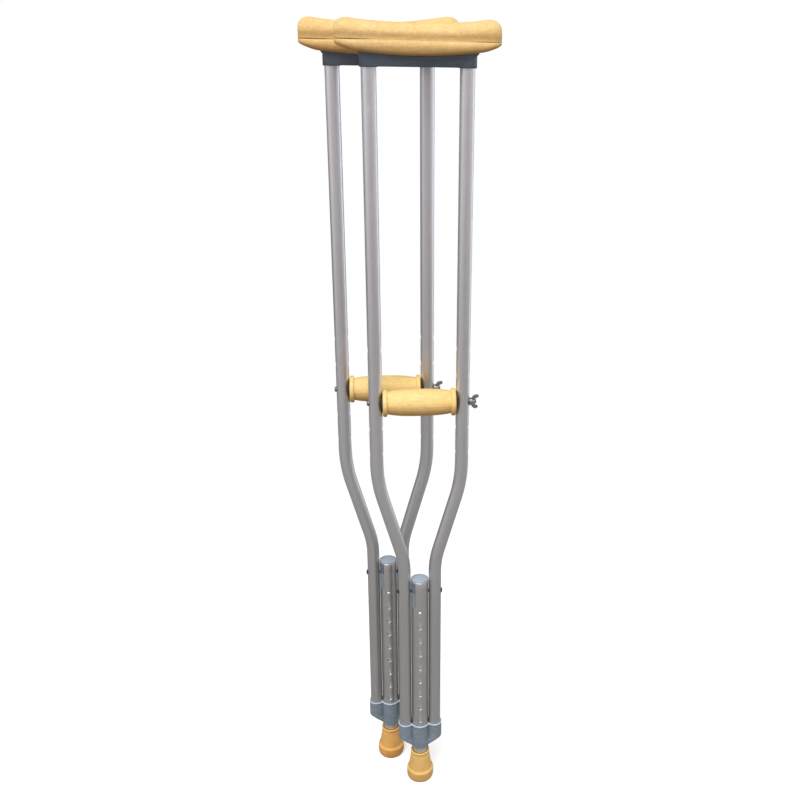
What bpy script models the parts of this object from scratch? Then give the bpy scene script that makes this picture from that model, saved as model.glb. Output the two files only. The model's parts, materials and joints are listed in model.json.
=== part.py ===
"""A pair of adjustable underarm crutches, each an assembly of separate pieces.

Metres, +Z up. Crutch A stands with the centre of its rubber sole at the world
origin; crutch B stands beside and behind it. X runs across a crutch, from the
left upright (-X) to the right one, and Y runs from its front (-Y, the side of
the leg button) to its back.
"""

import math

import bmesh
import bpy
from mathutils import Matrix, Vector

for old_object in list(bpy.data.objects):
    bpy.data.objects.remove(old_object, do_unlink=True)

# ---------------------------------------------------------------- shared dimensions
GAP = 0.0003                 # clearance between neighbouring pieces
WALL = 0.0012                # wall of every metal tube
CUT_REACH = 0.020            # how far most crosswise cutters run from their axis
SIDES = ((-1, "left"), (1, "right"))

# uprights, bent in together below the hand grip
TUBE_R = 0.009525            # 3/4 inch tube
UPPER_X = 0.0612             # axis of an upright at grip and pad height
LOWER_X = 0.02315            # axis of an upright beside the centre tube
UPRIGHT_BOTTOM_Z = 0.0820
UPRIGHT_TOP_Z = 1.1349

# centre tube, telescoping leg and its push button
CENTRE_R = 0.0133
CENTRE_FIT_R = CENTRE_R - WALL - GAP     # parts that fit inside the centre tube
CENTRE_BOTTOM_Z = 0.0660
CENTRE_TOP_Z = 0.3770
LEG_R = 0.0116
LEG_BOTTOM_Z = 0.0125
LEG_TOP_Z = 0.3430
BUTTON_Z = 0.3242            # top hole, with the leg fully in; origin of the leg
BUTTON_R = 0.0032
BUTTON_HOLE_R = BUTTON_R + GAP

# rivets
CROSS_Z = 0.3570             # ties both uprights to the centre tube
CROSS_R = 0.0024
CROSS_HOLE_R = CROSS_R + GAP
TOP_RIVET_Z = 1.1282
FOOT_RIVET_Z = 0.0945
RIVET_R = 0.0019             # shank of the top and foot rivets
RIVET_HOLE_R = RIVET_R + GAP
TOP_RIVET_HEAD_Y = 0.0110    # underside of a head, front and back

# hand grip and bolt
GRIP_Z = 0.6660
GRIP_HALF = 0.0502           # to the outer face of a rubber flange
GRIP_BORE_R = 0.0113
CORE_R = GRIP_BORE_R - GAP
CORE_BORE_R = 0.0039         # bolt passage in the core and the saddles
BOLT_R = 0.0031
WASHER_SEAT = UPPER_X + TUBE_R + GAP
WASHER_THICK = 0.0010
NUT_SEAT = WASHER_SEAT + WASHER_THICK + GAP
NUT_ANGLE = math.radians(25)  # how far the wings stand from upright at rest

# rail of the top bracket, which the pad clips over
RAIL_HALF_X = 0.0745
RAIL_HALF_Y = 0.0120
RAIL_BOTTOM_Z = 1.1222
RAIL_TOP_Z = 1.1382

# crutch B's place: beside and behind crutch A, turned a little
B_PLACE = (-0.04676, 0.05853, 0.0)
B_TURN = -0.0104

# ---------------------------------------------------------------- materials
# name: base colour, roughness, metallic
LOOKS = {
    "tan_rubber": ((0.86, 0.60, 0.27), 0.62, 0.0),
    "tip_rubber": ((0.86, 0.56, 0.22), 0.62, 0.0),
    "anodised_tube": ((0.66, 0.65, 0.67), 0.33, 1.0),
    "bracket_plastic": ((0.20, 0.25, 0.31), 0.48, 0.0),
    "cap_plastic": ((0.50, 0.62, 0.72), 0.38, 0.0),
    "black_plastic": ((0.03, 0.03, 0.03), 0.50, 0.0),
    "zinc_steel": ((0.58, 0.59, 0.60), 0.32, 1.0),
    "dark_steel": ((0.16, 0.16, 0.17), 0.42, 1.0),
    "spring_steel": ((0.78, 0.78, 0.78), 0.22, 1.0),
    "blue_label": ((0.33, 0.45, 0.56), 0.45, 0.0),
}


def make_material(name, colour, roughness, metallic):
    material = bpy.data.materials.new(name)
    material.use_nodes = True
    shader = material.node_tree.nodes["Principled BSDF"]
    shader.inputs["Base Color"].default_value = (*colour, 1.0)
    shader.inputs["Roughness"].default_value = roughness
    shader.inputs["Metallic"].default_value = metallic
    return material


MATERIALS = {name: make_material(name, *look) for name, look in LOOKS.items()}

# ---------------------------------------------------------------- profiles
# A profile is a list of (radius, height) points, bottom to top on the outside.


def sleeve(inner, outer, bottom, top):
    """A plain hollow cylinder, or a solid one where inner is 0."""
    return [(inner, bottom), (outer, bottom), (outer, top), (inner, top)]


def shifted(profile, rise):
    return [(radius, height + rise) for radius, height in profile]


def on_leg(profile):
    """Heights above the ground, turned into heights about the leg's origin."""
    return shifted(profile, -BUTTON_Z)


def mirrored(half):
    """A profile's lower half, followed by its reflection in height 0."""
    return half + [(radius, -height) for radius, height in reversed(half)]


# ---------------------------------------------------------------- mesh tools
ALONG_Z = Matrix()
ALONG_X = Matrix.Rotation(math.radians(90), 4, "Y")      # local Z becomes +X
ALONG_Y = Matrix.Rotation(math.radians(-90), 4, "X")     # local Z becomes +Y


def angles_around(count):
    return [2 * math.pi * k / count for k in range(count)]


def ring(mesh, points):
    return [mesh.verts.new(point) for point in points]


def bridge(mesh, low, high):
    """Quads between two rings of the same length.

    They face outward if both rings turn counter-clockwise seen from the high end.
    """
    count = len(low)
    for i in range(count):
        j = (i + 1) % count
        mesh.faces.new((low[i], low[j], high[j], high[i]))


def loft(mesh, rings):
    """A solid through a row of rings, with a flat face at each end."""
    for low, high in zip(rings, rings[1:]):
        bridge(mesh, low, high)
    mesh.faces.new(list(reversed(rings[0])))
    mesh.faces.new(rings[-1])


def lathe(mesh, profile, segments, place=ALONG_Z):
    """Turns a profile about Z.

    A radius of 0 closes an end. If neither end is closed, the last ring joins the first.
    """
    angles = angles_around(segments)
    rings = []
    for radius, height in profile:
        rings.append(ring(mesh, [
            place @ Vector((radius * math.cos(angle), radius * math.sin(angle), height))
            for angle in (angles if radius else angles[:1])
        ]))
    pairs = list(zip(rings, rings[1:]))
    if len(rings[0]) > 1 and len(rings[-1]) > 1:
        pairs.append((rings[-1], rings[0]))
    for low, high in pairs:
        if len(low) == 1:
            for i in range(segments):
                mesh.faces.new((low[0], high[(i + 1) % segments], high[i]))
        elif len(high) == 1:
            for i in range(segments):
                mesh.faces.new((low[i], low[(i + 1) % segments], high[0]))
        else:
            bridge(mesh, low, high)


def rod(mesh, radius, start, end, segments, at=(0, 0, 0), turn=ALONG_Z):
    """A closed cylinder along the turned Z axis, from start to end."""
    lathe(mesh, sleeve(0, radius, start, end), segments, Matrix.Translation(at) @ turn)


def box(mesh, low, high):
    x0, y0, z0 = low
    x1, y1, z1 = high
    corners = ring(mesh, (
        (x0, y0, z0), (x1, y0, z0), (x1, y1, z0), (x0, y1, z0),
        (x0, y0, z1), (x1, y0, z1), (x1, y1, z1), (x0, y1, z1)))
    for face in ((3, 2, 1, 0), (4, 5, 6, 7), (0, 1, 5, 4),
                 (1, 2, 6, 5), (2, 3, 7, 6), (3, 0, 4, 7)):
        mesh.faces.new([corners[i] for i in face])


def swept_tube(mesh, line, outer, inner, segments):
    """A hollow round tube along a line in the XZ plane."""
    outside, inside = [], []
    for i, centre in enumerate(line):
        tangent = (line[min(i + 1, len(line) - 1)] - line[max(i - 1, 0)]).normalized()
        across = Vector((tangent.y, -tangent.x))
        for radius, rings in ((outer, outside), (inner, inside)):
            rings.append(ring(mesh, [
                (centre.x + across.x * radius * math.cos(angle),
                 radius * math.sin(angle),
                 centre.y + across.y * radius * math.cos(angle))
                for angle in angles_around(segments)
            ]))
    for low, high in zip(outside, outside[1:]):
        bridge(mesh, low, high)
    for low, high in zip(inside, inside[1:]):
        bridge(mesh, high, low)
    bridge(mesh, inside[0], outside[0])
    bridge(mesh, outside[-1], inside[-1])


# ---------------------------------------------------------------- object tools
def add_object(name, data, parent):
    obj = bpy.data.objects.new(name, data)
    bpy.context.scene.collection.objects.link(obj)
    obj.parent = parent
    return obj


def mesh_object(name, mesh, middle, parent):
    """Turns a bmesh into an object, with its points measured from middle."""
    bmesh.ops.translate(mesh, vec=-Vector(middle), verts=mesh.verts)
    bmesh.ops.recalc_face_normals(mesh, faces=mesh.faces)
    data = bpy.data.meshes.new(name)
    mesh.to_mesh(data)
    mesh.free()
    return add_object(name, data, parent)


def piece(name, mesh, look, parent, at=(0, 0, 0), sharp=35, middle=(0, 0, 0)):
    """One named solid.

    Its points are given about its parent plus at; middle moves its origin into its
    bulk. Edges sharper than sharp, in degrees, stay crisp.
    """
    obj = mesh_object(name, mesh, middle, parent)
    obj.location = Vector(at) + Vector(middle)
    obj["middle"] = tuple(middle)
    obj.data.materials.append(MATERIALS[look])
    obj.data.shade_smooth()
    obj.data.set_sharp_from_angle(angle=math.radians(sharp))
    return obj


def boolean(obj, mesh, operation="DIFFERENCE"):
    """Applies a cutter or an addition, its points given as obj's own were."""
    tool = mesh_object(obj.name + "_tool", mesh, obj["middle"], obj)
    tool.hide_render = True
    tool.display_type = "WIRE"
    modifier = obj.modifiers.new(operation.lower(), "BOOLEAN")
    modifier.operation = operation
    modifier.solver = "EXACT"
    modifier.object = tool


def empty(name, parent, at, turn=0.0):
    obj = add_object(name, None, parent)
    obj.empty_display_size = 0.02
    obj.location = at
    obj.rotation_euler = (0, 0, turn)
    return obj


def turned_piece(name, profile, segments, look, parent, turn=ALONG_Z, **options):
    """A piece that is one lathe profile."""
    mesh = bmesh.new()
    lathe(mesh, profile, segments, turn)
    return piece(name, mesh, look, parent, **options)


# ---------------------------------------------------------------- underarm pad
PAD_HALF_X = 0.1015
PAD_HALF_Y = 0.0230
PAD_SADDLE_Z = 1.1605
PAD_HORN = 0.0053            # rise of the top at PAD_HORN_X
PAD_HORN_X = 0.089
PAD_BOTTOM_Z = 1.1215
PAD_BOTTOM_RISE = 0.0062     # rise of the underside at PAD_BOTTOM_X
PAD_BOTTOM_X = 0.090
PAD_END = 0.014              # length of each rounded end
PAD_END_DROP = 0.0150        # how far the top, underside and sides draw in there
PAD_END_LIFT = 0.0030
PAD_END_NARROW = 0.0100
POCKET_DEPTH = 0.020         # of the pocket cutter, below the rail


def pad_section(x):
    """Half-width, top and bottom of the pad at x."""
    reach = abs(x)
    width = PAD_HALF_Y
    top = PAD_SADDLE_Z + PAD_HORN * (reach / PAD_HORN_X) ** 2.2
    bottom = PAD_BOTTOM_Z + PAD_BOTTOM_RISE * (reach / PAD_BOTTOM_X) ** 1.9
    edge = PAD_HALF_X - reach
    if edge < PAD_END:
        pull = 1 - math.sqrt(1 - (1 - edge / PAD_END) ** 2)
        top -= PAD_END_DROP * pull
        bottom += PAD_END_LIFT * pull
        width -= PAD_END_NARROW * pull
    return width, top, bottom


def squared(value, power):
    """A sine or cosine raised to a power with its sign kept, to square off an oval."""
    return math.copysign(abs(value) ** power, value)


def build_pad(name, parent):
    body_half = PAD_HALF_X - PAD_END
    left_end = [-PAD_HALF_X + PAD_END * (1 - math.cos(math.pi / 2 * k / 4)) for k in range(4)]
    body = [-body_half + 2 * body_half * k / 8 for k in range(9)]
    mesh = bmesh.new()
    rings = []
    for x in left_end + body + [-x for x in reversed(left_end)]:
        width, top, bottom = pad_section(x)
        rings.append(ring(mesh, [
            (x, width * squared(math.cos(angle), 0.55),
             (top + bottom) / 2 + (top - bottom) / 2 * squared(math.sin(angle), 0.60))
            for angle in angles_around(20)
        ]))
    loft(mesh, rings)
    pad = piece(name, mesh, "tan_rubber", parent, sharp=50, middle=(0, 0, RAIL_BOTTOM_Z))

    pocket = bmesh.new()
    box(pocket, (-RAIL_HALF_X - GAP, -RAIL_HALF_Y - GAP, RAIL_BOTTOM_Z - POCKET_DEPTH),
        (RAIL_HALF_X + GAP, RAIL_HALF_Y + GAP, RAIL_TOP_Z + GAP))
    boolean(pad, pocket)


# ---------------------------------------------------------------- top bracket
BRACKET_BOTTOM_Z = 1.1087
BRACKET_BOTTOM_HALF_X = 0.0600
RAIL_EDGE_Z = RAIL_BOTTOM_Z + 0.003      # where the ends start to slope in
SOCKET_R = 0.0116
SOCKET_BELOW = 0.0006        # how far the sockets stand out below the bracket
SOCKET_TOP_DROP = 0.0015     # from the rail's top to a socket's
RIVET_SEAT_R = 0.0036        # counterbore for a rivet head
HOLLOW_HALF_X = 0.0460       # hollow of the web, open below
HOLLOW_HALF_Y = 0.0096
HOLLOW_ROOF = 0.0030
BORE_BELOW = 0.01            # how far the cutters start below the bracket


def build_top_bracket(name, parent):
    # the rail and the web below it, narrower at the bottom
    outline = [
        (-RAIL_HALF_X, RAIL_TOP_Z), (-RAIL_HALF_X, RAIL_EDGE_Z),
        (-BRACKET_BOTTOM_HALF_X, BRACKET_BOTTOM_Z), (BRACKET_BOTTOM_HALF_X, BRACKET_BOTTOM_Z),
        (RAIL_HALF_X, RAIL_EDGE_Z), (RAIL_HALF_X, RAIL_TOP_Z),
    ]
    mesh = bmesh.new()
    loft(mesh, [ring(mesh, [(x, y, z) for x, z in outline]) for y in (-RAIL_HALF_Y, RAIL_HALF_Y)])
    bracket = piece(name, mesh, "bracket_plastic", parent, middle=(0, 0, RAIL_BOTTOM_Z))

    sockets = bmesh.new()
    rivet_holes = bmesh.new()
    rivet_seats = bmesh.new()
    bores = bmesh.new()
    seat_y = TOP_RIVET_HEAD_Y - GAP
    cut_bottom = BRACKET_BOTTOM_Z - BORE_BELOW
    for side, _ in SIDES:
        axis = (side * UPPER_X, 0, 0)
        rivet = (side * UPPER_X, 0, TOP_RIVET_Z)
        rod(sockets, SOCKET_R, BRACKET_BOTTOM_Z - SOCKET_BELOW, RAIL_TOP_Z - SOCKET_TOP_DROP,
            24, axis)
        rod(rivet_holes, RIVET_HOLE_R, -CUT_REACH, CUT_REACH, 11, rivet, ALONG_Y)
        rod(rivet_seats, RIVET_SEAT_R, -CUT_REACH, -seat_y, 15, rivet, ALONG_Y)
        rod(rivet_seats, RIVET_SEAT_R, seat_y, CUT_REACH, 15, rivet, ALONG_Y)
        rod(bores, TUBE_R + GAP, cut_bottom, UPRIGHT_TOP_Z + GAP, 26, axis)
    # the web is hollow from below, between the sockets
    box(bores, (-HOLLOW_HALF_X, -HOLLOW_HALF_Y, cut_bottom),
        (HOLLOW_HALF_X, HOLLOW_HALF_Y, RAIL_TOP_Z - HOLLOW_ROOF))
    boolean(bracket, sockets, "UNION")
    boolean(bracket, rivet_holes)
    boolean(bracket, rivet_seats)
    boolean(bracket, bores)


TOP_RIVET_END_R = 0.0031
TOP_RIVET_END_Y = 0.0118


def build_top_rivet(name, side, parent):
    profile = mirrored([(0, -TOP_RIVET_END_Y), (TOP_RIVET_END_R, -TOP_RIVET_END_Y),
                        (TOP_RIVET_END_R, -TOP_RIVET_HEAD_Y), (RIVET_R, -TOP_RIVET_HEAD_Y)])
    turned_piece(name, profile, 12, "zinc_steel", parent, ALONG_Y,
                 at=(side * UPPER_X, 0, TOP_RIVET_Z))


# ---------------------------------------------------------------- uprights
BEND_TOP_Z = 0.5436          # where the straight runs would meet, upper bend
BEND_LOW_Z = 0.4101          # the same, lower bend
BEND_TOP_R = 0.215
BEND_LOW_R = 0.140
GRIP_PITCH = 0.0390
GRIP_HOLES_EACH_WAY = 2
BOLT_HOLE_R = 0.0036
CROSS_CUT_REACH = 0.015      # stays clear of the other upright


def fillet(before, corner, after, radius, steps):
    """Points of the arc that rounds one corner of a line in the XZ plane."""
    corner = Vector(corner)
    back = (Vector(before) - corner).normalized()
    ahead = (Vector(after) - corner).normalized()
    half = back.angle(ahead) / 2
    reach = radius / math.tan(half)
    centre = corner + (back + ahead).normalized() * radius / math.sin(half)
    start = corner + back * reach - centre
    end = corner + ahead * reach - centre
    sweep = math.atan2(start.x * end.y - start.y * end.x, start.dot(end))
    return [centre + Matrix.Rotation(sweep * k / steps, 2) @ start for k in range(steps + 1)]


def upright_line(side):
    """Centre line of an upright from bottom to top, as (x, z)."""
    bottom = (side * LOWER_X, UPRIGHT_BOTTOM_Z)
    low = (side * LOWER_X, BEND_LOW_Z)
    high = (side * UPPER_X, BEND_TOP_Z)
    top = (side * UPPER_X, UPRIGHT_TOP_Z)
    return [Vector(bottom), *fillet(bottom, low, high, BEND_LOW_R, 5),
            *fillet(low, high, top, BEND_TOP_R, 6), Vector(top)]


def build_upright(name, side, parent):
    mesh = bmesh.new()
    swept_tube(mesh, upright_line(side), TUBE_R, TUBE_R - WALL, 16)
    tube = piece(name, mesh, "anodised_tube", parent)

    holes = bmesh.new()
    upper, lower = side * UPPER_X, side * LOWER_X
    for k in range(-GRIP_HOLES_EACH_WAY, GRIP_HOLES_EACH_WAY + 1):
        rod(holes, BOLT_HOLE_R, -CUT_REACH, CUT_REACH, 10,
            (upper, 0, GRIP_Z + k * GRIP_PITCH), ALONG_X)
    rod(holes, CROSS_HOLE_R, -CROSS_CUT_REACH, CROSS_CUT_REACH, 10, (lower, 0, CROSS_Z), ALONG_X)
    rod(holes, RIVET_HOLE_R, -CUT_REACH, CUT_REACH, 8, (upper, 0, TOP_RIVET_Z), ALONG_Y)
    rod(holes, RIVET_HOLE_R, 0.0, CUT_REACH, 8, (lower, 0, FOOT_RIVET_Z), ALONG_Y)
    boolean(tube, holes)


# ---------------------------------------------------------------- foot bracket
FOOT_TOP_Z = 0.1098
FOOT_FULL_Z = 0.0807         # below this the side lobes taper in
FOOT_BOTTOM_Z = 0.0635
LOBE_SIDE_R = 0.0117
LOBE_CENTRE_R = 0.0155
FOOT_CUT_BOTTOM_Z = 0.02     # ends of the bore cutters, clear of the bracket
FOOT_CUT_TOP_Z = 0.2

# height, x of a side lobe's centre, side lobe radius, centre lobe radius
FOOT_LEVELS = [
    (FOOT_BOTTOM_Z, 0.0040, 0.0095, 0.0142),
    (FOOT_BOTTOM_Z + 0.0055, 0.0100, 0.0098, 0.0148),
    (FOOT_FULL_Z - 0.0080, LOWER_X - 0.0062, LOBE_SIDE_R - 0.0006, 0.0152),
    (FOOT_FULL_Z, LOWER_X, LOBE_SIDE_R, LOBE_CENTRE_R - 0.0002),
    (FOOT_TOP_Z, LOWER_X, LOBE_SIDE_R, LOBE_CENTRE_R),
]

# (radius, y from the bracket's middle), from the upset tail to the head
FOOT_RIVET_PROFILE = [
    (0, 0.0062), (0.0024, 0.0062), (0.0028, 0.0072), (RIVET_R, 0.0079),
    (RIVET_R, 0.0120), (0.0034, 0.0120), (0.0028, 0.0130), (0, 0.0133),
]


def lobe_radius(angle, side_x, side_r, centre_r):
    """Distance from the middle to the edge of three overlapping circles in a row."""
    reach = centre_r
    inside = side_r ** 2 - (side_x * math.sin(angle)) ** 2
    if inside > 0:
        reach = max(reach, abs(side_x * math.cos(angle)) + math.sqrt(inside))
    return reach


def build_foot_bracket(name, parent):
    """Holds the lower ends of the uprights and the centre tube together."""
    mesh = bmesh.new()
    rings = []
    for z, *lobes in FOOT_LEVELS:
        points = []
        for angle in angles_around(48):
            radius = lobe_radius(angle, *lobes)
            points.append((radius * math.cos(angle), radius * math.sin(angle), z))
        rings.append(ring(mesh, points))
    loft(mesh, rings)
    foot = piece(name, mesh, "bracket_plastic", parent, middle=(0, 0, FOOT_FULL_Z))

    upright_bores = bmesh.new()
    rivet_holes = bmesh.new()
    for side, _ in SIDES:
        rod(upright_bores, TUBE_R + GAP, UPRIGHT_BOTTOM_Z - GAP, FOOT_CUT_TOP_Z, 24,
            (side * LOWER_X, 0, 0))
        rod(rivet_holes, RIVET_HOLE_R, 0.0, CUT_REACH, 12,
            (side * LOWER_X, 0, FOOT_RIVET_Z), ALONG_Y)
    # stepped bore: the leg passes through and the centre tube rests on the step
    centre_bore = bmesh.new()
    step_z = CENTRE_BOTTOM_Z - GAP
    lathe(centre_bore, [
        (0, FOOT_CUT_BOTTOM_Z), (LEG_R + GAP, FOOT_CUT_BOTTOM_Z), (LEG_R + GAP, step_z),
        (CENTRE_R + GAP, step_z), (CENTRE_R + GAP, FOOT_CUT_TOP_Z), (0, FOOT_CUT_TOP_Z)], 24)
    boolean(foot, upright_bores)
    boolean(foot, centre_bore)
    boolean(foot, rivet_holes)


def build_foot_rivet(name, side, parent):
    """A blind rivet from the back, with its upset tail inside the upright."""
    turned_piece(name, FOOT_RIVET_PROFILE, 12, "zinc_steel", parent, ALONG_Y,
                 at=(side * LOWER_X, 0, FOOT_RIVET_Z))


# ---------------------------------------------------------------- centre tube
LEG_PITCH = 0.0254
LEG_HOLES = 9

CAP_SEAT_Z = CENTRE_TOP_Z + GAP
CAP_SPIGOT_BOTTOM_Z = 0.3670
CAP_SPIGOT_WALL = 0.0014
CAP_CEILING = 0.0006         # height of the inner ceiling above the seat
# (radius, height above the seat) of the cap's head
CAP_HEAD = [
    (CENTRE_R, 0), (CENTRE_R, 0.0008), (CENTRE_R - 0.0006, 0.0013),
    (0.0090, 0.0018), (0.0045, 0.0021), (0, 0.0022),
]

LABEL_BOTTOM_Z = 0.3330
LABEL_TOP_Z = 0.3750
LABEL_THICK = 0.00025
LABEL_START = 33             # degrees from the front, towards the left
LABEL_SWEEP = 31
LABEL_STEPS = 6

# (radius, distance beyond the seat) of the cross rivet's left head
CROSS_HEAD = [(0, -0.0016), (0.0030, -0.0013), (0.0044, 0), (CROSS_R, 0)]


def build_centre_tube(name, parent):
    profile = sleeve(CENTRE_R - WALL, CENTRE_R, CENTRE_BOTTOM_Z, CENTRE_TOP_Z)
    tube = turned_piece(name, profile, 24, "anodised_tube", parent)
    holes = bmesh.new()
    for k in range(LEG_HOLES):
        rod(holes, BUTTON_HOLE_R, -CUT_REACH, 0.0, 12, (0, 0, BUTTON_Z - k * LEG_PITCH), ALONG_Y)
    rod(holes, CROSS_HOLE_R, -CUT_REACH, CUT_REACH, 12, (0, 0, CROSS_Z), ALONG_X)
    boolean(tube, holes)


def build_cap(name, parent):
    mesh = bmesh.new()
    spigot = [(CENTRE_FIT_R - CAP_SPIGOT_WALL, CAP_SPIGOT_BOTTOM_Z),
              (CENTRE_FIT_R, CAP_SPIGOT_BOTTOM_Z), (CENTRE_FIT_R, CAP_SEAT_Z)]
    lathe(mesh, spigot + shifted(CAP_HEAD, CAP_SEAT_Z), 24)
    # the lathe leaves the bottom open: run an inner wall up from there and close it
    rim = [edge for edge in mesh.edges if edge.is_boundary]
    inner_wall = bmesh.ops.extrude_edge_only(mesh, edges=rim)["geom"]
    ceiling = [part for part in inner_wall if isinstance(part, bmesh.types.BMVert)]
    for vertex in ceiling:
        vertex.co.z = CAP_SEAT_Z + CAP_CEILING
    bmesh.ops.contextual_create(mesh, geom=ceiling)
    piece(name, mesh, "cap_plastic", parent)


def build_label(name, parent):
    """A thin curved blank sticker on the front left of the centre tube."""
    inner = CENTRE_R + GAP
    outer = inner + LABEL_THICK
    across = range(LABEL_STEPS + 1)
    mesh = bmesh.new()
    rings = []
    for z in (LABEL_BOTTOM_Z, LABEL_TOP_Z):
        points = []
        for radius, order in ((outer, across), (inner, reversed(across))):
            for k in order:
                angle = math.radians(LABEL_START + LABEL_SWEEP * k / LABEL_STEPS)
                points.append((-radius * math.sin(angle), -radius * math.cos(angle), z))
        rings.append(ring(mesh, points))
    low, high = rings
    bridge(mesh, low, high)
    # close the curved ends with strips of quads between the outer and inner arcs
    for k in range(LABEL_STEPS):
        j = 2 * LABEL_STEPS + 1 - k
        mesh.faces.new((low[k], low[j], low[j - 1], low[k + 1]))
        mesh.faces.new((high[k], high[k + 1], high[j - 1], high[j]))
    piece(name, mesh, "blue_label", parent)


def build_cross_rivet(name, parent):
    profile = mirrored(shifted(CROSS_HEAD, -(LOWER_X + TUBE_R + GAP)))
    turned_piece(name, profile, 12, "dark_steel", parent, ALONG_X, at=(0, 0, CROSS_Z))


# ---------------------------------------------------------------- telescoping leg
BUSHING_WALL = 0.0014
BUSHING_DEPTH = 0.0080       # inside the leg
BUSHING_RIM = 0.0026         # height of the rim above the leg

BUTTON_PROUD = 0.0022
BUTTON_TIP_Y = -(CENTRE_R + BUTTON_PROUD)
BUTTON_BACK_Y = -0.0098

SPRING_ARM_Y = 0.00925       # middle of each arm, front and back
SPRING_ARM_TOP = 0.0085      # heights about the button
SPRING_ARM_BOTTOM = -0.0080
SPRING_BEND_Z = -0.0420
SPRING_BEND_R = 0.0045
SPRING_HALF_WIDTH = 0.0029
SPRING_HALF_THICK = 0.00022

TIP_FLOOR_Z = 0.0095         # inside floor, under the steel washer
TIP_TOP_Z = 0.0535
TIP_WASHER_R = 0.0112
# (radius, height above the ground), up the outside and down the socket
TIP_PROFILE = [
    (0, 0), (0.0190, 0), (0.0207, 0.0014), (0.0215, 0.0060), (0.0215, 0.0162),
    (0.0206, 0.0179), (0.0190, 0.0193), (0.0180, 0.0270), (0.0160, 0.0420),
    (0.0152, 0.0500), (0.0155, 0.0516), (0.0153, TIP_TOP_Z - 0.0005), (0.0148, TIP_TOP_Z),
    (LEG_R + GAP, TIP_TOP_Z), (LEG_R + GAP, TIP_FLOOR_Z), (0, TIP_FLOOR_Z),
]


def build_leg_tube(name, parent):
    profile = on_leg(sleeve(LEG_R - WALL, LEG_R, LEG_BOTTOM_Z, LEG_TOP_Z))
    tube = turned_piece(name, profile, 24, "anodised_tube", parent)
    hole = bmesh.new()
    rod(hole, BUTTON_HOLE_R, -CUT_REACH, 0.0, 14, turn=ALONG_Y)
    boolean(tube, hole)


def build_leg_bushing(name, parent):
    """Plastic guide ring in the top end of the leg."""
    fit = LEG_R - WALL - GAP
    bore = fit - BUSHING_WALL
    profile = [(bore, -BUSHING_DEPTH), (fit, -BUSHING_DEPTH), (fit, 0),
               (CENTRE_FIT_R, 0), (CENTRE_FIT_R, BUSHING_RIM), (bore, BUSHING_RIM)]
    turned_piece(name, on_leg(shifted(profile, LEG_TOP_Z + GAP)), 24, "black_plastic", parent)


def build_snap_button(name, parent):
    profile = [(0, BUTTON_TIP_Y), (0.0016, BUTTON_TIP_Y + 0.0002),
               (0.0027, BUTTON_TIP_Y + 0.0009), (BUTTON_R, -CENTRE_R),
               (BUTTON_R, BUTTON_BACK_Y), (0, BUTTON_BACK_Y)]
    turned_piece(name, profile, 14, "spring_steel", parent, ALONG_Y)


def build_button_spring(name, parent):
    """A V-shaped leaf inside the leg: a front arm behind the button and a back arm."""
    line = [Vector((-SPRING_ARM_Y, SPRING_ARM_TOP)), Vector((-SPRING_ARM_Y, SPRING_ARM_BOTTOM))]
    for k in range(7):
        angle = math.pi * k / 6
        line.append(Vector((-SPRING_BEND_R * math.cos(angle),
                            SPRING_BEND_Z - SPRING_BEND_R * math.sin(angle))))
    line += [Vector((SPRING_ARM_Y, SPRING_ARM_BOTTOM)), Vector((SPRING_ARM_Y, SPRING_ARM_TOP))]

    mesh = bmesh.new()
    rings = []
    for i, centre in enumerate(line):
        ahead = (line[min(i + 1, len(line) - 1)] - line[max(i - 1, 0)]).normalized()
        offset = Vector((ahead.y, -ahead.x)) * SPRING_HALF_THICK
        near, far = centre + offset, centre - offset
        rings.append(ring(mesh, [
            (-SPRING_HALF_WIDTH, *near), (SPRING_HALF_WIDTH, *near),
            (SPRING_HALF_WIDTH, *far), (-SPRING_HALF_WIDTH, *far)]))
    loft(mesh, rings)
    piece(name, mesh, "spring_steel", parent)


def build_tip(name, parent):
    turned_piece(name, on_leg(TIP_PROFILE), 24, "tip_rubber", parent, sharp=50)


def build_tip_washer(name, parent):
    profile = on_leg(sleeve(0, TIP_WASHER_R, TIP_FLOOR_Z + GAP, LEG_BOTTOM_Z - GAP))
    turned_piece(name, profile, 20, "zinc_steel", parent)


# ---------------------------------------------------------------- hand grip
GRIP_BASE_R = 0.0163
GRIP_BARREL_SWELL = 0.0029   # added at the middle of the barrel
GRIP_FLANGE_SWELL = 0.0033   # added at the fullest part of a flange
GRIP_FLANGE_X = 0.0445       # where the barrel meets a flange
# x from the left face of the grip to just short of its middle
GRIP_STATIONS = [-GRIP_HALF, -0.0488, -0.0473, -0.0456, -0.0442, -0.0380, -0.0250, -0.0100]

CORE_INSET = 0.0045          # from a flange face to the end of the core

SADDLE_R = 0.0146
SADDLE_CUT_R = TUBE_R + GAP + 0.0001
SADDLE_CUT_REACH = 0.03
# (radius, distance outward from the seat on the rubber flange)
SADDLE_PROFILE = [
    (CORE_BORE_R, -0.0044), (CORE_R, -0.0044), (CORE_R, 0), (SADDLE_R, 0),
    (SADDLE_R, 0.0020), (0.0108, 0.0022), (0.0098, 0.0030), (CORE_BORE_R, 0.0030),
]

# (radius, distance from the seat) of the bolt's head, on the left upright
BOLT_HEAD = [(0, -0.0034), (0.0026, -0.0032), (0.0044, -0.0022), (0.0052, -0.0006),
             (0.0052, 0), (BOLT_R, 0)]
BOLT_CHAMFER = 0.0006
BOLT_CHAMFER_X = 0.0800
WASHER_R = 0.0060


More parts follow.
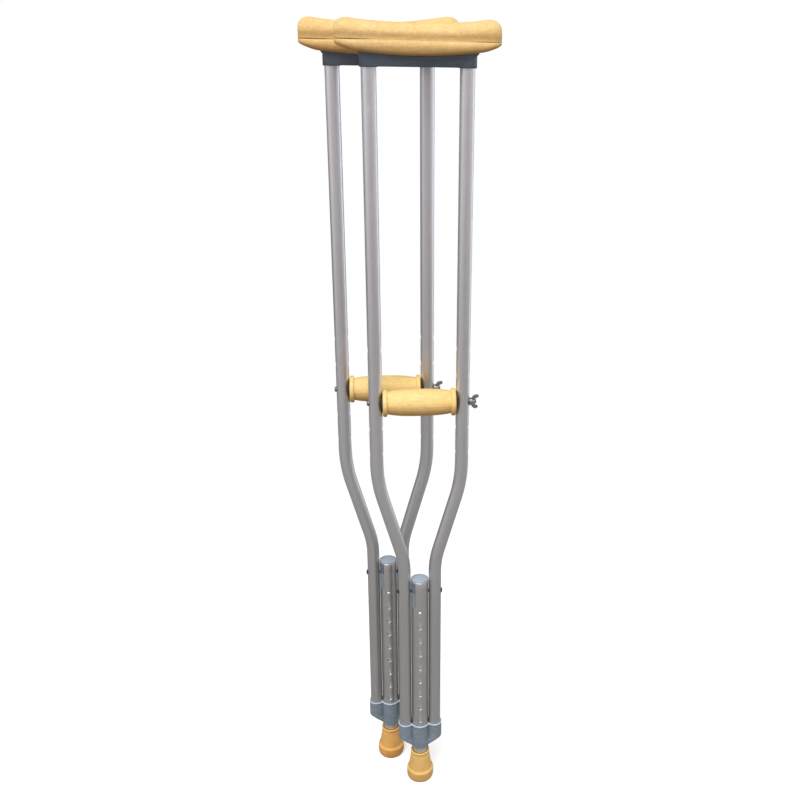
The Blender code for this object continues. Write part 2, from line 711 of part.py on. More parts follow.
def grip_radius(x):
    """Outside of the rubber grip: a barrel between two rounded flanges."""
    x = abs(x)
    if x > GRIP_FLANGE_X:
        along = (x - GRIP_FLANGE_X) / (GRIP_HALF - GRIP_FLANGE_X)
        swell = math.sin(math.pi * (0.18 + 0.70 * along)) ** 0.5
        return GRIP_BASE_R + GRIP_FLANGE_SWELL * swell
    return GRIP_BASE_R + GRIP_BARREL_SWELL * math.cos(math.pi / 2 * (x / GRIP_FLANGE_X) ** 1.6)


def build_hand_grip(name, parent):
    half = [(GRIP_BORE_R, -GRIP_HALF)] + [(grip_radius(x), x) for x in GRIP_STATIONS]
    turned_piece(name, mirrored(half), 22, "tan_rubber", parent, ALONG_X, sharp=50)


def build_grip_core(name, parent):
    reach = GRIP_HALF - CORE_INSET
    turned_piece(name, sleeve(CORE_BORE_R, CORE_R, -reach, reach), 20, "black_plastic",
                 parent, ALONG_X)


def build_grip_saddle(name, side, parent):
    """End piece between the rubber and an upright, hollowed to the tube's curve."""
    profile = shifted(SADDLE_PROFILE, GRIP_HALF + GAP)
    turn = Matrix.Scale(side, 4, (1, 0, 0)) @ ALONG_X
    saddle = turned_piece(name, profile, 24, "black_plastic", parent, turn)
    hollow = bmesh.new()
    rod(hollow, SADDLE_CUT_R, -SADDLE_CUT_REACH, SADDLE_CUT_REACH, 40, (side * UPPER_X, 0, 0))
    boolean(saddle, hollow)


def build_grip_bolt(name, parent):
    end_x = BOLT_CHAMFER_X + BOLT_CHAMFER
    profile = shifted(BOLT_HEAD, -WASHER_SEAT)
    profile += [(BOLT_R, BOLT_CHAMFER_X), (BOLT_R - BOLT_CHAMFER, end_x), (0, end_x)]
    turned_piece(name, profile, 14, "zinc_steel", parent, ALONG_X)


def build_grip_washer(name, parent):
    profile = sleeve(BOLT_R + GAP, WASHER_R, WASHER_SEAT, WASHER_SEAT + WASHER_THICK)
    turned_piece(name, profile, 16, "zinc_steel", parent, ALONG_X)


# ---------------------------------------------------------------- wing nut
# (radius, distance outward from the nut's seat)
HUB_PROFILE = [(0, 0), (0.0054, 0), (0.0056, 0.0012), (0.0047, 0.0070), (0.0043, 0.0075),
               (0, 0.0075)]
NUT_BORE_R = BOLT_R + 0.00032
NUT_BORE_X = (0.06, 0.10)    # start and end of the bore cutter
WING_HALF_THICK = 0.0012
WING_EDGE_START = (0.0016, 0.0062)   # x from the seat, distance from the axis
WING_LEAN = 0.0085           # how far the upper edge travels outward along X
WING_RISE = 0.0070           # and away from the axis
WING_END_R = 0.0022


def wing_outline():
    """One wing as (x from the seat, distance from the bolt's axis)."""
    start_x, start_r = WING_EDGE_START
    end_x = start_x + WING_LEAN
    end_r = start_r + WING_RISE - WING_END_R
    outline = [(0.0010, 0.0040)]
    for k in range(6):           # outer edge, swinging up and away
        along = k / 5
        outline.append((start_x + WING_LEAN * along ** 1.25,
                        start_r + WING_RISE * math.sin(along * math.pi / 2)))
    for k in range(1, 5):        # rounded end
        angle = math.pi * k / 5
        outline.append((end_x + WING_END_R * math.sin(angle),
                        end_r + WING_END_R * math.cos(angle)))
    return outline + [(0.0098, 0.0088), (0.0068, 0.0062), (0.0062, 0.0040)]


def build_wing_nut(name, parent):
    """A hub with two rounded wings that lean outwards."""
    nut = turned_piece(name, shifted(HUB_PROFILE, NUT_SEAT), 18, "zinc_steel", parent, ALONG_X)
    nut.rotation_euler = (NUT_ANGLE, 0, 0)
    wings = bmesh.new()
    for flip in (1, -1):
        loft(wings, [
            ring(wings, [(NUT_SEAT + x, y, flip * radius) for x, radius in wing_outline()])
            for y in (-WING_HALF_THICK, WING_HALF_THICK)
        ])
    boolean(nut, wings, "UNION")
    bore = bmesh.new()
    rod(bore, NUT_BORE_R, *NUT_BORE_X, 18, turn=ALONG_X)
    boolean(nut, bore)


# ---------------------------------------------------------------- assembly
def build_crutch(tag, place, turn):
    root = empty(tag + "place", None, place, turn)
    leg = empty(tag + "leg_slide", root, (0, 0, BUTTON_Z))
    button = empty(tag + "button_slide", leg, (0, 0, 0))
    grip = empty(tag + "grip_slide", root, (0, 0, GRIP_Z))
    nut = empty(tag + "nut_turn", grip, (0, 0, 0))

    build_pad(tag + "underarm_pad", root)
    build_top_bracket(tag + "top_bracket", root)
    for side, word in SIDES:
        build_upright(tag + "upright_" + word, side, root)
        build_top_rivet(tag + "top_rivet_" + word, side, root)
        build_foot_rivet(tag + "foot_rivet_" + word, side, root)
        build_grip_saddle(tag + "grip_saddle_" + word, side, grip)
    build_foot_bracket(tag + "foot_bracket", root)
    build_centre_tube(tag + "centre_tube", root)
    build_cap(tag + "centre_tube_cap", root)
    build_label(tag + "size_label", root)
    build_cross_rivet(tag + "cross_rivet", root)

    build_leg_tube(tag + "leg_tube", leg)
    build_leg_bushing(tag + "leg_bushing", leg)
    build_button_spring(tag + "button_spring", leg)
    build_tip(tag + "rubber_tip", leg)
    build_tip_washer(tag + "tip_washer", leg)
    build_snap_button(tag + "snap_button", button)

    build_hand_grip(tag + "hand_grip", grip)
    build_grip_core(tag + "grip_core", grip)
    build_grip_bolt(tag + "grip_bolt", grip)
    build_grip_washer(tag + "grip_washer", grip)
    build_wing_nut(tag + "wing_nut", nut)


build_crutch("a_", (0.0, 0.0, 0.0), 0.0)
build_crutch("b_", B_PLACE, B_TURN)
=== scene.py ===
"""The looks of a pair of adjustable underarm crutches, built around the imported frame.

Each piece is modelled once about its own crutch (the sole's centre at the origin,
+Z up, -Y to the front) and placed twice, as crutch A and crutch B.
"""

import json
import math

import bmesh
import bpy
import numpy as np
from mathutils import Matrix, Vector, noise

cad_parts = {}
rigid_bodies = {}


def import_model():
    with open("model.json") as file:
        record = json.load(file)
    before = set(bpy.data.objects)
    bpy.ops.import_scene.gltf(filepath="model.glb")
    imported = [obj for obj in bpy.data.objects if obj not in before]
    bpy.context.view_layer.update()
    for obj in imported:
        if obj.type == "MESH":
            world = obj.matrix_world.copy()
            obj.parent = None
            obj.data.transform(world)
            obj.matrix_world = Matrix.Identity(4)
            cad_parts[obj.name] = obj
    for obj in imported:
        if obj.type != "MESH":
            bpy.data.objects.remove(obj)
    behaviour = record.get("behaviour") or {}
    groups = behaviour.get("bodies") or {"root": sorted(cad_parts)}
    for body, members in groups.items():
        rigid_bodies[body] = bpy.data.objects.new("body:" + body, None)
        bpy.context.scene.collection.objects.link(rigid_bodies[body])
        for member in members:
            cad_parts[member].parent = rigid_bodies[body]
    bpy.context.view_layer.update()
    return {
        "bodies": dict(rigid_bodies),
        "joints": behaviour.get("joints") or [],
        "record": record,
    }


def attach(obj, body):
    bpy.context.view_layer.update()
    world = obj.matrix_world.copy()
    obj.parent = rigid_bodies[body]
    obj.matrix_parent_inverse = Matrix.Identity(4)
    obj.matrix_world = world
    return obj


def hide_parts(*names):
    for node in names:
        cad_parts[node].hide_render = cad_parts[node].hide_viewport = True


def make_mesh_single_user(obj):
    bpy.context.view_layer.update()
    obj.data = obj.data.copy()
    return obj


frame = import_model()

# ---------------------------------------------------------------- sizes, as the frame has them
GAP = 0.0003
TUBE_R, TUBE_WALL = 0.009525, 0.0012
UPPER_X, LOWER_X = 0.0612, 0.02315
BEND_TOP_Z, BEND_LOW_Z = 0.5436, 0.4101
BEND_TOP_R, BEND_LOW_R = 0.215, 0.140
UPRIGHT_BOTTOM_Z, UPRIGHT_TOP_Z = 0.0820, 1.1349
CENTRE_R, CENTRE_WALL = 0.0133, 0.0012
CENTRE_BOTTOM_Z, CENTRE_TOP_Z = 0.0660, 0.3770
LEG_R, LEG_WALL = 0.0116, 0.0012
LEG_BOTTOM_Z, LEG_TOP_Z = 0.0125, 0.3430
BUTTON_Z, LEG_PITCH, LEG_HOLES = 0.3242, 0.0254, 9
BUTTON_R, BUTTON_HOLE_R, BUTTON_PROUD = 0.0032, 0.0035, 0.0022
CROSS_Z, CROSS_R = 0.3570, 0.0024
GRIP_Z, GRIP_PITCH, GRIP_HALF = 0.6660, 0.0390, 0.0502
GRIP_BORE_R, CORE_R, SADDLE_R = 0.0113, 0.0110, 0.0146
BOLT_R, BOLT_HOLE_R, NUT_ANGLE = 0.0031, 0.0036, math.radians(25)
BRACKET_BOTTOM_Z = 1.1087
RAIL_HALF_X, RAIL_HALF_Y = 0.0745, 0.0120
RAIL_BOTTOM_Z, RAIL_TOP_Z, SOCKET_R = 1.1222, 1.1382, 0.0116
PAD_HALF_X, PAD_HALF_Y = 0.1015, 0.0230
PAD_SADDLE_Z, PAD_HORN, PAD_BOTTOM_Z = 1.1605, 0.0053, 1.1215
TOP_RIVET_Z, FOOT_RIVET_Z = 1.1282, 0.0945
FOOT_TOP_Z, FOOT_FULL_Z, FOOT_BOTTOM_Z = 0.1098, 0.0807, 0.0635
TIP_TOP_Z, TIP_FLOOR_Z = 0.0535, 0.0095
WASHER_SEAT = UPPER_X + TUBE_R + GAP
NUT_SEAT = WASHER_SEAT + 0.0010 + GAP

mounts = {m["name"]: m for m in frame["record"]["mounts"]}
joints = {j["name"]: j for j in frame["joints"]}
b_axis = joints["b_nut_spin"]["axis"]
PLACES = {
    "a": Matrix.Translation(mounts["tip_a_floor"]["pos_m"]),
    "b": Matrix.Translation(mounts["tip_b_floor"]["pos_m"])
    @ Matrix.Rotation(math.atan2(b_axis[1], b_axis[0]), 4, "Z"),
}
ALONG_X = Matrix.Rotation(math.radians(90), 4, "Y")      # local Z becomes +X
ALONG_Y = Matrix.Rotation(math.radians(-90), 4, "X")     # local Z becomes +Y
TAU = 2 * math.pi


# ---------------------------------------------------------------- lines and sections
def soft_line(points, steps=4, closed=False):
    """Rounds a line's corners. A point is (a, b) or (a, b, radius)."""
    out, count = [], len(points)
    for i, p in enumerate(points):
        radius = p[2] if len(p) > 2 else 0
        if not radius or (not closed and i in (0, count - 1)):
            out.append((p[0], p[1]))
            continue
        corner = Vector(p[:2])
        u = Vector(points[i - 1][:2]) - corner
        v = Vector(points[(i + 1) % count][:2]) - corner
        half = u.angle(v) / 2
        reach = min(radius / math.tan(half), 0.49 * u.length, 0.49 * v.length)
        radius = reach * math.tan(half)
        u.normalize()
        v.normalize()
        middle = corner + (u + v).normalized() * radius / math.sin(half)
        s, e = corner + u * reach - middle, corner + v * reach - middle
        sweep = math.atan2(s.x * e.y - s.y * e.x, s.dot(e))
        for k in range(steps + 1):
            t = sweep * k / steps
            out.append((middle.x + s.x * math.cos(t) - s.y * math.sin(t),
                        middle.y + s.x * math.sin(t) + s.y * math.cos(t)))
    return out


def split_long(line, longest):
    """Adds points so that no step of a line is longer than longest."""
    out = [line[0]]
    for p, q in zip(line, line[1:]):
        n = max(1, math.ceil(math.dist(p, q) / longest))
        out += [(p[0] + (q[0] - p[0]) * k / n, p[1] + (q[1] - p[1]) * k / n) for k in range(1, n + 1)]
    return out


def inset(points, depth):
    """A closed counter-clockwise outline moved inwards by depth."""
    p = np.array(points, float)
    edge = np.roll(p, -1, 0) - p
    edge /= np.maximum(np.linalg.norm(edge, axis=1), 1e-12)[:, None]
    normal = np.stack([-edge[:, 1], edge[:, 0]], 1)
    both = normal + np.roll(normal, 1, 0)
    both /= np.maximum(np.linalg.norm(both, axis=1), 1e-9)[:, None]
    cos_half = np.clip((both * normal).sum(1), 0.35, 1)
    return p + both * (depth / cos_half)[:, None]


def smooth_step(t):
    t = min(1.0, max(0.0, t))
    return t * t * (3 - 2 * t)


# ---------------------------------------------------------------- shapes
class Shape:
    """Points and faces of a piece before it becomes a mesh."""

    def __init__(self):
        self.points, self.faces = [], []

    def ring(self, points):
        start = len(self.points)
        self.points += [tuple(p) for p in points]
        return list(range(start, len(self.points)))

    def bridge(self, low, high):
        n = len(low)
        for i in range(n):
            j = (i + 1) % n
            self.faces.append((low[i], low[j], high[j], high[i]))

    def loft(self, rings, closed=False):
        for low, high in zip(rings, rings[1:]):
            self.bridge(low, high)
        if closed:
            self.bridge(rings[-1], rings[0])

    def cap(self, ring):
        self.faces.append(tuple(ring))

    def fan(self, ring, centre):
        c = self.ring([centre])[0]
        for i in range(len(ring)):
            self.faces.append((ring[i], ring[(i + 1) % len(ring)], c))

    def lathe(self, profile, segments, place=Matrix(), shape=None):
        """Turns (radius, height) points about Z. shape(angle, radius, height) may change the radius."""
        rings = []
        for r, h in profile:
            if r == 0:
                rings.append(self.ring([place @ Vector((0, 0, h))]))
                continue
            ring = []
            for k in range(segments):
                a = TAU * k / segments
                q = shape(a, r, h) if shape else r
                ring.append(place @ Vector((q * math.cos(a), q * math.sin(a), h)))
            rings.append(self.ring(ring))
        pairs = list(zip(rings, rings[1:]))
        if len(rings[0]) > 1 and len(rings[-1]) > 1:
            pairs.append((rings[-1], rings[0]))
        for low, high in pairs:
            if len(low) == 1:
                for i in range(segments):
                    self.faces.append((low[0], high[(i + 1) % segments], high[i]))
            elif len(high) == 1:
                for i in range(segments):
                    self.faces.append((low[i], low[(i + 1) % segments], high[0]))
            else:
                self.bridge(low, high)
        return self

    def rod(self, radius, start, end, turn, at=(0, 0, 0), segments=32, flare=None):
        """A closed cylinder along the turned Z axis. flare is not used."""
        place = Matrix.Translation(at) @ turn
        return self.lathe([(0, start), (radius, start), (radius, end), (0, end)], segments, place)

    def box(self, low, high):
        (x0, y0, z0), (x1, y1, z1) = low, high
        a = self.ring([(x0, y0, z0), (x1, y0, z0), (x1, y1, z0), (x0, y1, z0)])
        b = self.ring([(x0, y0, z1), (x1, y0, z1), (x1, y1, z1), (x0, y1, z1)])
        self.cap(a)
        self.bridge(a, b)
        self.cap(b)
        return self

    def mesh(self, name):
        m = bpy.data.meshes.new(name)
        m.from_pydata(self.points, [], self.faces)
        bm = bmesh.new()
        bm.from_mesh(m)
        bmesh.ops.remove_doubles(bm, verts=bm.verts, dist=1e-7)
        bmesh.ops.recalc_face_normals(bm, faces=bm.faces)
        bm.to_mesh(m)
        bm.free()
        return m


def evaluated(mesh, modifiers):
    """The mesh after a list of (type, settings)."""
    obj = bpy.data.objects.new("work", mesh)
    bpy.context.scene.collection.objects.link(obj)
    for kind, settings in modifiers:
        mod = obj.modifiers.new(kind, kind)
        for key, value in settings.items():
            setattr(mod, key, value)
    graph = bpy.context.evaluated_depsgraph_get()
    graph.update()
    result = bpy.data.meshes.new_from_object(obj.evaluated_get(graph), depsgraph=graph)
    bpy.data.objects.remove(obj, do_unlink=True)
    return result


def cut(mesh, tools, operation="DIFFERENCE"):
    """Applies Booleans with the tool shapes, one after another."""
    for tool in tools:
        other = bpy.data.objects.new("tool", tool.mesh("tool"))
        bpy.context.scene.collection.objects.link(other)
        mesh = evaluated(mesh, [("BOOLEAN", {"operation": operation, "solver": "EXACT", "object": other})])
        bpy.data.objects.remove(other, do_unlink=True)
    return mesh


def drill(radius, start, end, turn, at, lead=0.00035, surface=None, segments=28):
    """A hole cutter with a small lead-in at each face given in surface."""
    profile = [(0, start), (radius, start)]
    for face in sorted(surface or []):
        if face < 0:
            profile = [(0, start), (radius + 0.003, start), (radius + lead, face - 0.0001), (radius, face + lead)] \
                if len(profile) == 2 else profile + [(radius, face + lead)]
        else:
            profile += [(radius, face - lead), (radius + lead, face + 0.0001), (radius + 0.003, end), (0, end)]
    if profile[-1][0] != 0:
        profile += [(radius, end), (0, end)]
    return Shape().lathe(profile, segments, Matrix.Translation(at) @ turn)


def joined(shapes):
    """One shape from several that don't touch."""
    out = Shape()
    for s in shapes:
        start = len(out.points)
        out.points += s.points
        out.faces += [tuple(i + start for i in f) for f in s.faces]
    return out


def tidy(mesh, sharp=32, wear_from=0.06, wear_gain=5.0):
    """Smooth shading with sharp edges, and two point attributes: paler outer edges, standing for rubbing and a painted
    edge highlight, and darker hollows, standing for painted shade with grime.
    """
    bm = bmesh.new()
    bm.from_mesh(mesh)
    bmesh.ops.remove_doubles(bm, verts=bm.verts, dist=2e-7)
    bmesh.ops.dissolve_degenerate(bm, edges=bm.edges, dist=1e-7)
    bm.to_mesh(mesh)
    bm.free()
    mesh.shade_smooth()
    mesh.set_sharp_from_angle(angle=math.radians(sharp))
    n = len(mesh.vertices)
    co = np.zeros(n * 3)
    mesh.vertices.foreach_get("co", co)
    co = co.reshape(-1, 3)
    nor = np.zeros(n * 3)
    mesh.vertices.foreach_get("normal", nor)
    nor = nor.reshape(-1, 3)
    ends = np.zeros(len(mesh.edges) * 2, int)
    mesh.edges.foreach_get("vertices", ends)
    a, b = ends.reshape(-1, 2).T
    d = co[b] - co[a]
    d /= np.maximum(np.linalg.norm(d, axis=1), 1e-12)[:, None]
    bend, count = np.zeros(n), np.zeros(n)
    np.add.at(bend, a, (d * nor[a]).sum(1))
    np.add.at(bend, b, -(d * nor[b]).sum(1))
    np.add.at(count, a, 1)
    np.add.at(count, b, 1)
    bend /= np.maximum(count, 1)
    # outer edges are marked for rubbing and a painted edge highlight, hollows for painted shade with grime
    for name, value in (("wear_and_highlight", -bend), ("shade_and_dirt", bend)):
        layer = mesh.attributes.new(name, "FLOAT", "POINT")
        layer.data.foreach_set("value", np.clip((value - wear_from) * wear_gain, 0, 1).astype(np.float32))
    return mesh


def set_attribute(mesh, name, values):
    layer = mesh.attributes.get(name) or mesh.attributes.new(name, "FLOAT", "POINT")
    layer.data.foreach_set("value", np.asarray(values, np.float32))


def points_of(mesh):
    co = np.zeros(len(mesh.vertices) * 3)
    mesh.vertices.foreach_get("co", co)
    return co.reshape(-1, 3)


# ---------------------------------------------------------------- materials
class Net:
    """Short names for building a node tree."""

    def __init__(self, name):
        self.material = bpy.data.materials.new(name)
        self.material.use_nodes = True
        self.tree = self.material.node_tree
        self.tree.nodes.clear()
        coords = self.add("TexCoord").outputs["Object"]
        info = self.add("ObjectInfo")
        shift = self.math("MULTIPLY", info.outputs["Random"], 0.37)
        self.at = coords
        self.place = self.add("VectorMath", {0: coords, 1: self.vector(shift, shift, shift)}).outputs[0]

    def add(self, kind, inputs=None, **settings):
        node = self.tree.nodes.new("ShaderNode" + kind)
        for key, value in settings.items():
            setattr(node, key, value)
        for key, value in (inputs or {}).items():
            if isinstance(value, bpy.types.NodeSocket):
                self.tree.links.new(value, node.inputs[key])
            else:
                node.inputs[key].default_value = value
        return node

    def math(self, operation, a, b=0.0, c=0.0, clamp=False):
        return self.add("Math", {0: a, 1: b, 2: c}, operation=operation, use_clamp=clamp).outputs[0]

    def vector(self, x, y, z):
        return self.add("CombineXYZ", {0: x, 1: y, 2: z}).outputs[0]

    def split(self, vec):
        return self.add("SeparateXYZ", {0: vec}).outputs

    def scaled(self, scale, vec=None):
        return self.add("VectorMath", {0: vec or self.place, 1: scale}, operation="MULTIPLY").outputs[0]

    def noise(self, scale, detail=3.0, rough=0.55, distort=0.0, vec=None):
        if not isinstance(scale, (int, float)):
            vec, scale = self.scaled(scale, vec), 1.0
        return self.add("TexNoise", {"Vector": vec or self.place, "Scale": scale, "Detail": detail,
                                     "Roughness": rough, "Distortion": distort}).outputs[0]

    def cells(self, scale, feature="F1", vec=None):
        if not isinstance(scale, (int, float)):
            vec, scale = self.scaled(scale, vec), 1.0
        return self.add("TexVoronoi", {"Vector": vec or self.place, "Scale": scale}, feature=feature).outputs["Distance"]

    def span(self, value, low, high, to_low=0.0, to_high=1.0):
        return self.add("MapRange", {"Value": value, "From Min": low, "From Max": high,
                                     "To Min": to_low, "To Max": to_high}, clamp=True).outputs[0]

    def mix(self, share, a, b, blend="MIX"):
        a = (*a, 1.0) if isinstance(a, tuple) and len(a) == 3 else a
        b = (*b, 1.0) if isinstance(b, tuple) and len(b) == 3 else b
        return self.add("MixRGB", {"Fac": share, "Color1": a, "Color2": b}, blend_type=blend).outputs[0]

    def field(self, name):
        return self.add("Attribute", attribute_name=name).outputs["Fac"]

    def bump(self, height, distance, strength=1.0, normal=None):
        inputs = {"Height": height, "Distance": distance, "Strength": strength}
        if normal is not None:
            inputs["Normal"] = normal
        return self.add("Bump", inputs).outputs[0]

    def surface(self, **inputs):
        shader = self.add("BsdfPrincipled", {k.replace("_", " "): v for k, v in inputs.items()})
        out = self.add("OutputMaterial")
        self.tree.links.new(shader.outputs[0], out.inputs[0])
        return shader


def foam_rubber(name, light, mid, deep, rough=0.62, grain=1.0, sheen=0.0):
    """Moulded latex rubber: fine pores, faint flow lines, painted shade with grime in hollows, edges paler from rubbing
    and painted highlight, and painted shade on faces that point down.
    """
    n = Net(name)
    cloud = n.noise(22.0, 4.0, 0.6)
    mottle = n.noise(160.0, 4.0, 0.65)
    flow = n.noise((85.0, 520.0, 520.0), 4.0, 0.6, 0.25)
    fleck = n.noise((240.0, 620.0, 620.0), 3.0, 0.7)
    fine = n.noise(1500.0, 3.0, 0.6)
    pores = n.cells(850.0)
    pore = n.span(pores, 0.06, 0.30, 1.0, 0.0)
    sparse = n.math("MULTIPLY", pore, n.span(n.noise(330.0, 2.0), 0.50, 0.68))
    base = n.mix(n.span(cloud, 0.30, 0.70), mid, light)
    base = n.mix(n.span(mottle, 0.35, 0.75, 0.0, 0.28), base, deep)
    base = n.mix(n.span(flow, 0.42, 0.70, 0.0, 0.20 + 0.12 * grain), base, deep)
    base = n.mix(n.span(fleck, 0.48, 0.66, 0.0, 0.10 + 0.22 * grain), base, deep)
    base = n.mix(n.math("MULTIPLY", sparse, 0.45), base, deep)
    # paler edges: rubbing, and a painted highlight such as on the tip's mouth bead
    base = n.mix(n.math("MULTIPLY", n.field("wear_and_highlight"), 0.55), base, light)
    # darker hollows: painted shade with grime, strongest along the pad's seam
    base = n.mix(n.math("MULTIPLY", n.field("shade_and_dirt"), 0.75), base, tuple(c * 0.55 for c in deep))
    # painted shade: faces that point down are mixed towards a darker, more saturated rubber colour
    facing = n.split(n.add("NewGeometry").outputs["Normal"])[2]
    under = n.span(facing, -0.78, 0.22, 0.76, 0.0)
    base = n.mix(under, base, tuple(c * k for c, k in zip(deep, (0.64, 0.46, 0.22))))
    height = n.math("ADD", n.math("MULTIPLY", fine, 0.55), n.math("MULTIPLY", flow, 0.9))
    height = n.math("SUBTRACT", height, n.math("MULTIPLY", sparse, 1.2))
    normal = n.bump(height, 0.00022 * grain, 0.9)
    normal = n.bump(mottle, 0.0006 * grain, 0.35, normal)
    roughness = n.span(n.math("ADD", n.math("MULTIPLY", cloud, 0.6), n.math("MULTIPLY", fine, 0.4)),
                       0.30, 0.72, rough - 0.10, rough + 0.12)
    n.surface(Base_Color=base, Roughness=roughness, Specular_IOR_Level=0.36, Normal=normal,
              Subsurface_Weight=0.10, Subsurface_Radius=(0.006, 0.003, 0.0012), Subsurface_Scale=0.6,
              Sheen_Weight=sheen, Sheen_Roughness=0.5)
    return n.material


def anodised_tube(name, lilac, grey, rough=0.34):
    """Drawn and anodised aluminium tube: fine lengthwise draw lines, cloudy oxide, scuffs near holes and ends, and
    painted light that makes it lighter higher up than low down.
    """
    n = Net(name)
    z = n.split(n.at)[2]
    lift = n.span(z, 0.30, 0.95)
    streak = n.noise((2400.0, 2400.0, 7.0), 3.0, 0.6)
    broad = n.noise((420.0, 420.0, 3.0), 2.0, 0.5)
    cloud = n.noise((60.0, 60.0, 26.0), 4.0, 0.65, 0.4)
    speck = n.noise(1900.0, 2.0, 0.6)
    # painted light: lighter and lilac higher up, darker grey low down, standing for light from above and a pinkish
    # reflection
    base = n.mix(lift, grey, lilac)
    base = n.mix(n.span(cloud, 0.32, 0.72, 0.0, 0.20), base, n.mix(0.5, base, (0.40, 0.39, 0.38)))
    base = n.mix(n.span(streak, 0.40, 0.72, 0.0, 0.20), base, (0.95, 0.94, 0.95))
    base = n.mix(n.span(broad, 0.45, 0.65, 0.0, 0.10), base, (0.46, 0.45, 0.45))
    # paler hole and end edges: bare metal and a painted highlight; darker hollows: painted shade with grime
    base = n.mix(n.math("MULTIPLY", n.field("wear_and_highlight"), 0.65), base, (0.93, 0.93, 0.94))
    base = n.mix(n.math("MULTIPLY", n.field("shade_and_dirt"), 0.60), base, (0.10, 0.10, 0.10))
    scuff = n.span(n.math("MULTIPLY", n.noise((900.0, 900.0, 120.0), 5.0, 0.7), n.noise(38.0, 2.0)), 0.30, 0.44)
    roughness = n.math("ADD", n.span(streak, 0.3, 0.7, rough - 0.05, rough + 0.06), n.math("MULTIPLY", scuff, 0.13))
    height = n.math("ADD", n.math("MULTIPLY", streak, 1.0), n.math("MULTIPLY", speck, 0.35))
    height = n.math("SUBTRACT", height, n.math("MULTIPLY", scuff, 0.7))
    normal = n.bump(height, 0.000028, 0.8)
    n.surface(Base_Color=base, Metallic=0.94, Roughness=roughness, Normal=normal, Specular_IOR_Level=0.5)
    return n.material


def moulded(name, light, mid, dark, rough=0.45, texture=1.0, coat=0.0, spec=0.5):
    """Injection-moulded plastic: spark-eroded grain, flow marks, paler edges from rubbing and painted highlight,
    painted shade with grime in corners.
    """
    n = Net(name)
    cloud = n.noise(34.0, 4.0, 0.6)
    flow = n.noise((70.0, 320.0, 190.0), 3.0, 0.6, 0.6)
    grit = n.noise(2600.0, 2.0, 0.7)
    dust = n.span(n.noise(520.0, 4.0, 0.7), 0.56, 0.78)
    base = n.mix(n.span(cloud, 0.30, 0.70), dark, mid)
    base = n.mix(n.span(flow, 0.45, 0.75, 0.0, 0.14), base, light)
    base = n.mix(n.math("MULTIPLY", dust, 0.10), base, tuple(min(1.0, c * 1.6 + 0.05) for c in light))
    # paler edges: rubbing and painted highlight; darker corners: painted shade with grime
    base = n.mix(n.math("MULTIPLY", n.field("wear_and_highlight"), 0.80), base, light)
    base = n.mix(n.math("MULTIPLY", n.field("shade_and_dirt"), 0.70), base, tuple(c * 0.35 for c in dark))
    normal = n.bump(grit, 0.00005 * texture, 0.8)
    normal = n.bump(flow, 0.00018 * texture, 0.35, normal)
    roughness = n.math("ADD", n.span(cloud, 0.3, 0.7, rough - 0.07, rough + 0.07), n.math("MULTIPLY", dust, 0.15))
    n.surface(Base_Color=base, Roughness=roughness, Normal=normal, Coat_Weight=coat, Coat_Roughness=0.25,
              Specular_IOR_Level=spec)
    return n.material


def plated(name, bright, dull, rough=0.30, turned=True, pits=1.0):
    """Zinc-plated or blackened steel: turning marks, cloudy passivation, bright edges from rubbing and painted
    highlight, painted shade in hollows.
    """
    n = Net(name)
    cloud = n.noise(240.0, 4.0, 0.65)
    lines = n.noise((3800.0, 900.0, 900.0) if turned else 1900.0, 2.0, 0.6)
    pit = n.span(n.cells(1100.0), 0.05, 0.22, 1.0, 0.0)
    pit = n.math("MULTIPLY", pit, n.span(n.noise(420.0, 2.0), 0.52, 0.66))
    base = n.mix(n.span(cloud, 0.32, 0.68), dull, bright)
    base = n.mix(n.math("MULTIPLY", pit, 0.5), base, tuple(c * 0.4 for c in dull))
    # brighter edges: rubbing and painted highlight; darker hollows: painted shade with grime
    base = n.mix(n.math("MULTIPLY", n.field("wear_and_highlight"), 0.7), base, tuple(min(1.0, c * 1.25 + 0.08) for c in bright))
    base = n.mix(n.math("MULTIPLY", n.field("shade_and_dirt"), 0.7), base, tuple(c * 0.3 for c in dull))
    height = n.math("SUBTRACT", n.math("MULTIPLY", lines, 0.8), n.math("MULTIPLY", pit, pits))
    normal = n.bump(height, 0.00004, 0.9)
    roughness = n.span(n.math("ADD", n.math("MULTIPLY", cloud, 0.7), n.math("MULTIPLY", lines, 0.3)),
                       0.30, 0.70, rough - 0.08, rough + 0.14)
    n.surface(Base_Color=base, Metallic=1.0, Roughness=roughness, Normal=normal)
    return n.material


def printed_film(name):
    """A satin sticker: a pale blue-grey field with a plain darker block and a rule above it. It carries no lettering."""
    n = Net(name)
    x, y, z = n.split(n.at)
    angle = n.math("ARCTAN2", n.math("MULTIPLY", x, -1.0), n.math("MULTIPLY", y, -1.0))
    speck = n.noise(2400.0, 3.0, 0.7)
    cloud = n.noise(90.0, 3.0, 0.6)
    field = n.mix(n.span(cloud, 0.35, 0.65), (0.185, 0.225, 0.262), (0.235, 0.285, 0.325))
    upper = n.math("GREATER_THAN", z, 0.3610)
    cells = n.noise((900.0, 900.0, 420.0), 3.0, 0.7)
    block = n.mix(n.span(cells, 0.42, 0.62), (0.030, 0.045, 0.070), (0.21, 0.27, 0.33))
    colour = n.mix(n.math("MULTIPLY", upper, 0.85), field, block)
    rule = n.math("MULTIPLY", n.math("GREATER_THAN", z, 0.3597), n.math("LESS_THAN", z, 0.3611))
    colour = n.mix(n.math("MULTIPLY", rule, 0.9), colour, (0.012, 0.014, 0.018))
    # paler sticker edges: rubbing and a painted edge highlight
    colour = n.mix(n.math("MULTIPLY", n.field("wear_and_highlight"), 0.6), colour, (0.52, 0.56, 0.60))
    normal = n.bump(speck, 0.00002, 0.6)
    n.surface(Base_Color=colour, Roughness=n.span(speck, 0.3, 0.7, 0.36, 0.52), Normal=normal,
              Coat_Weight=0.35, Coat_Roughness=0.22)
    return n.material


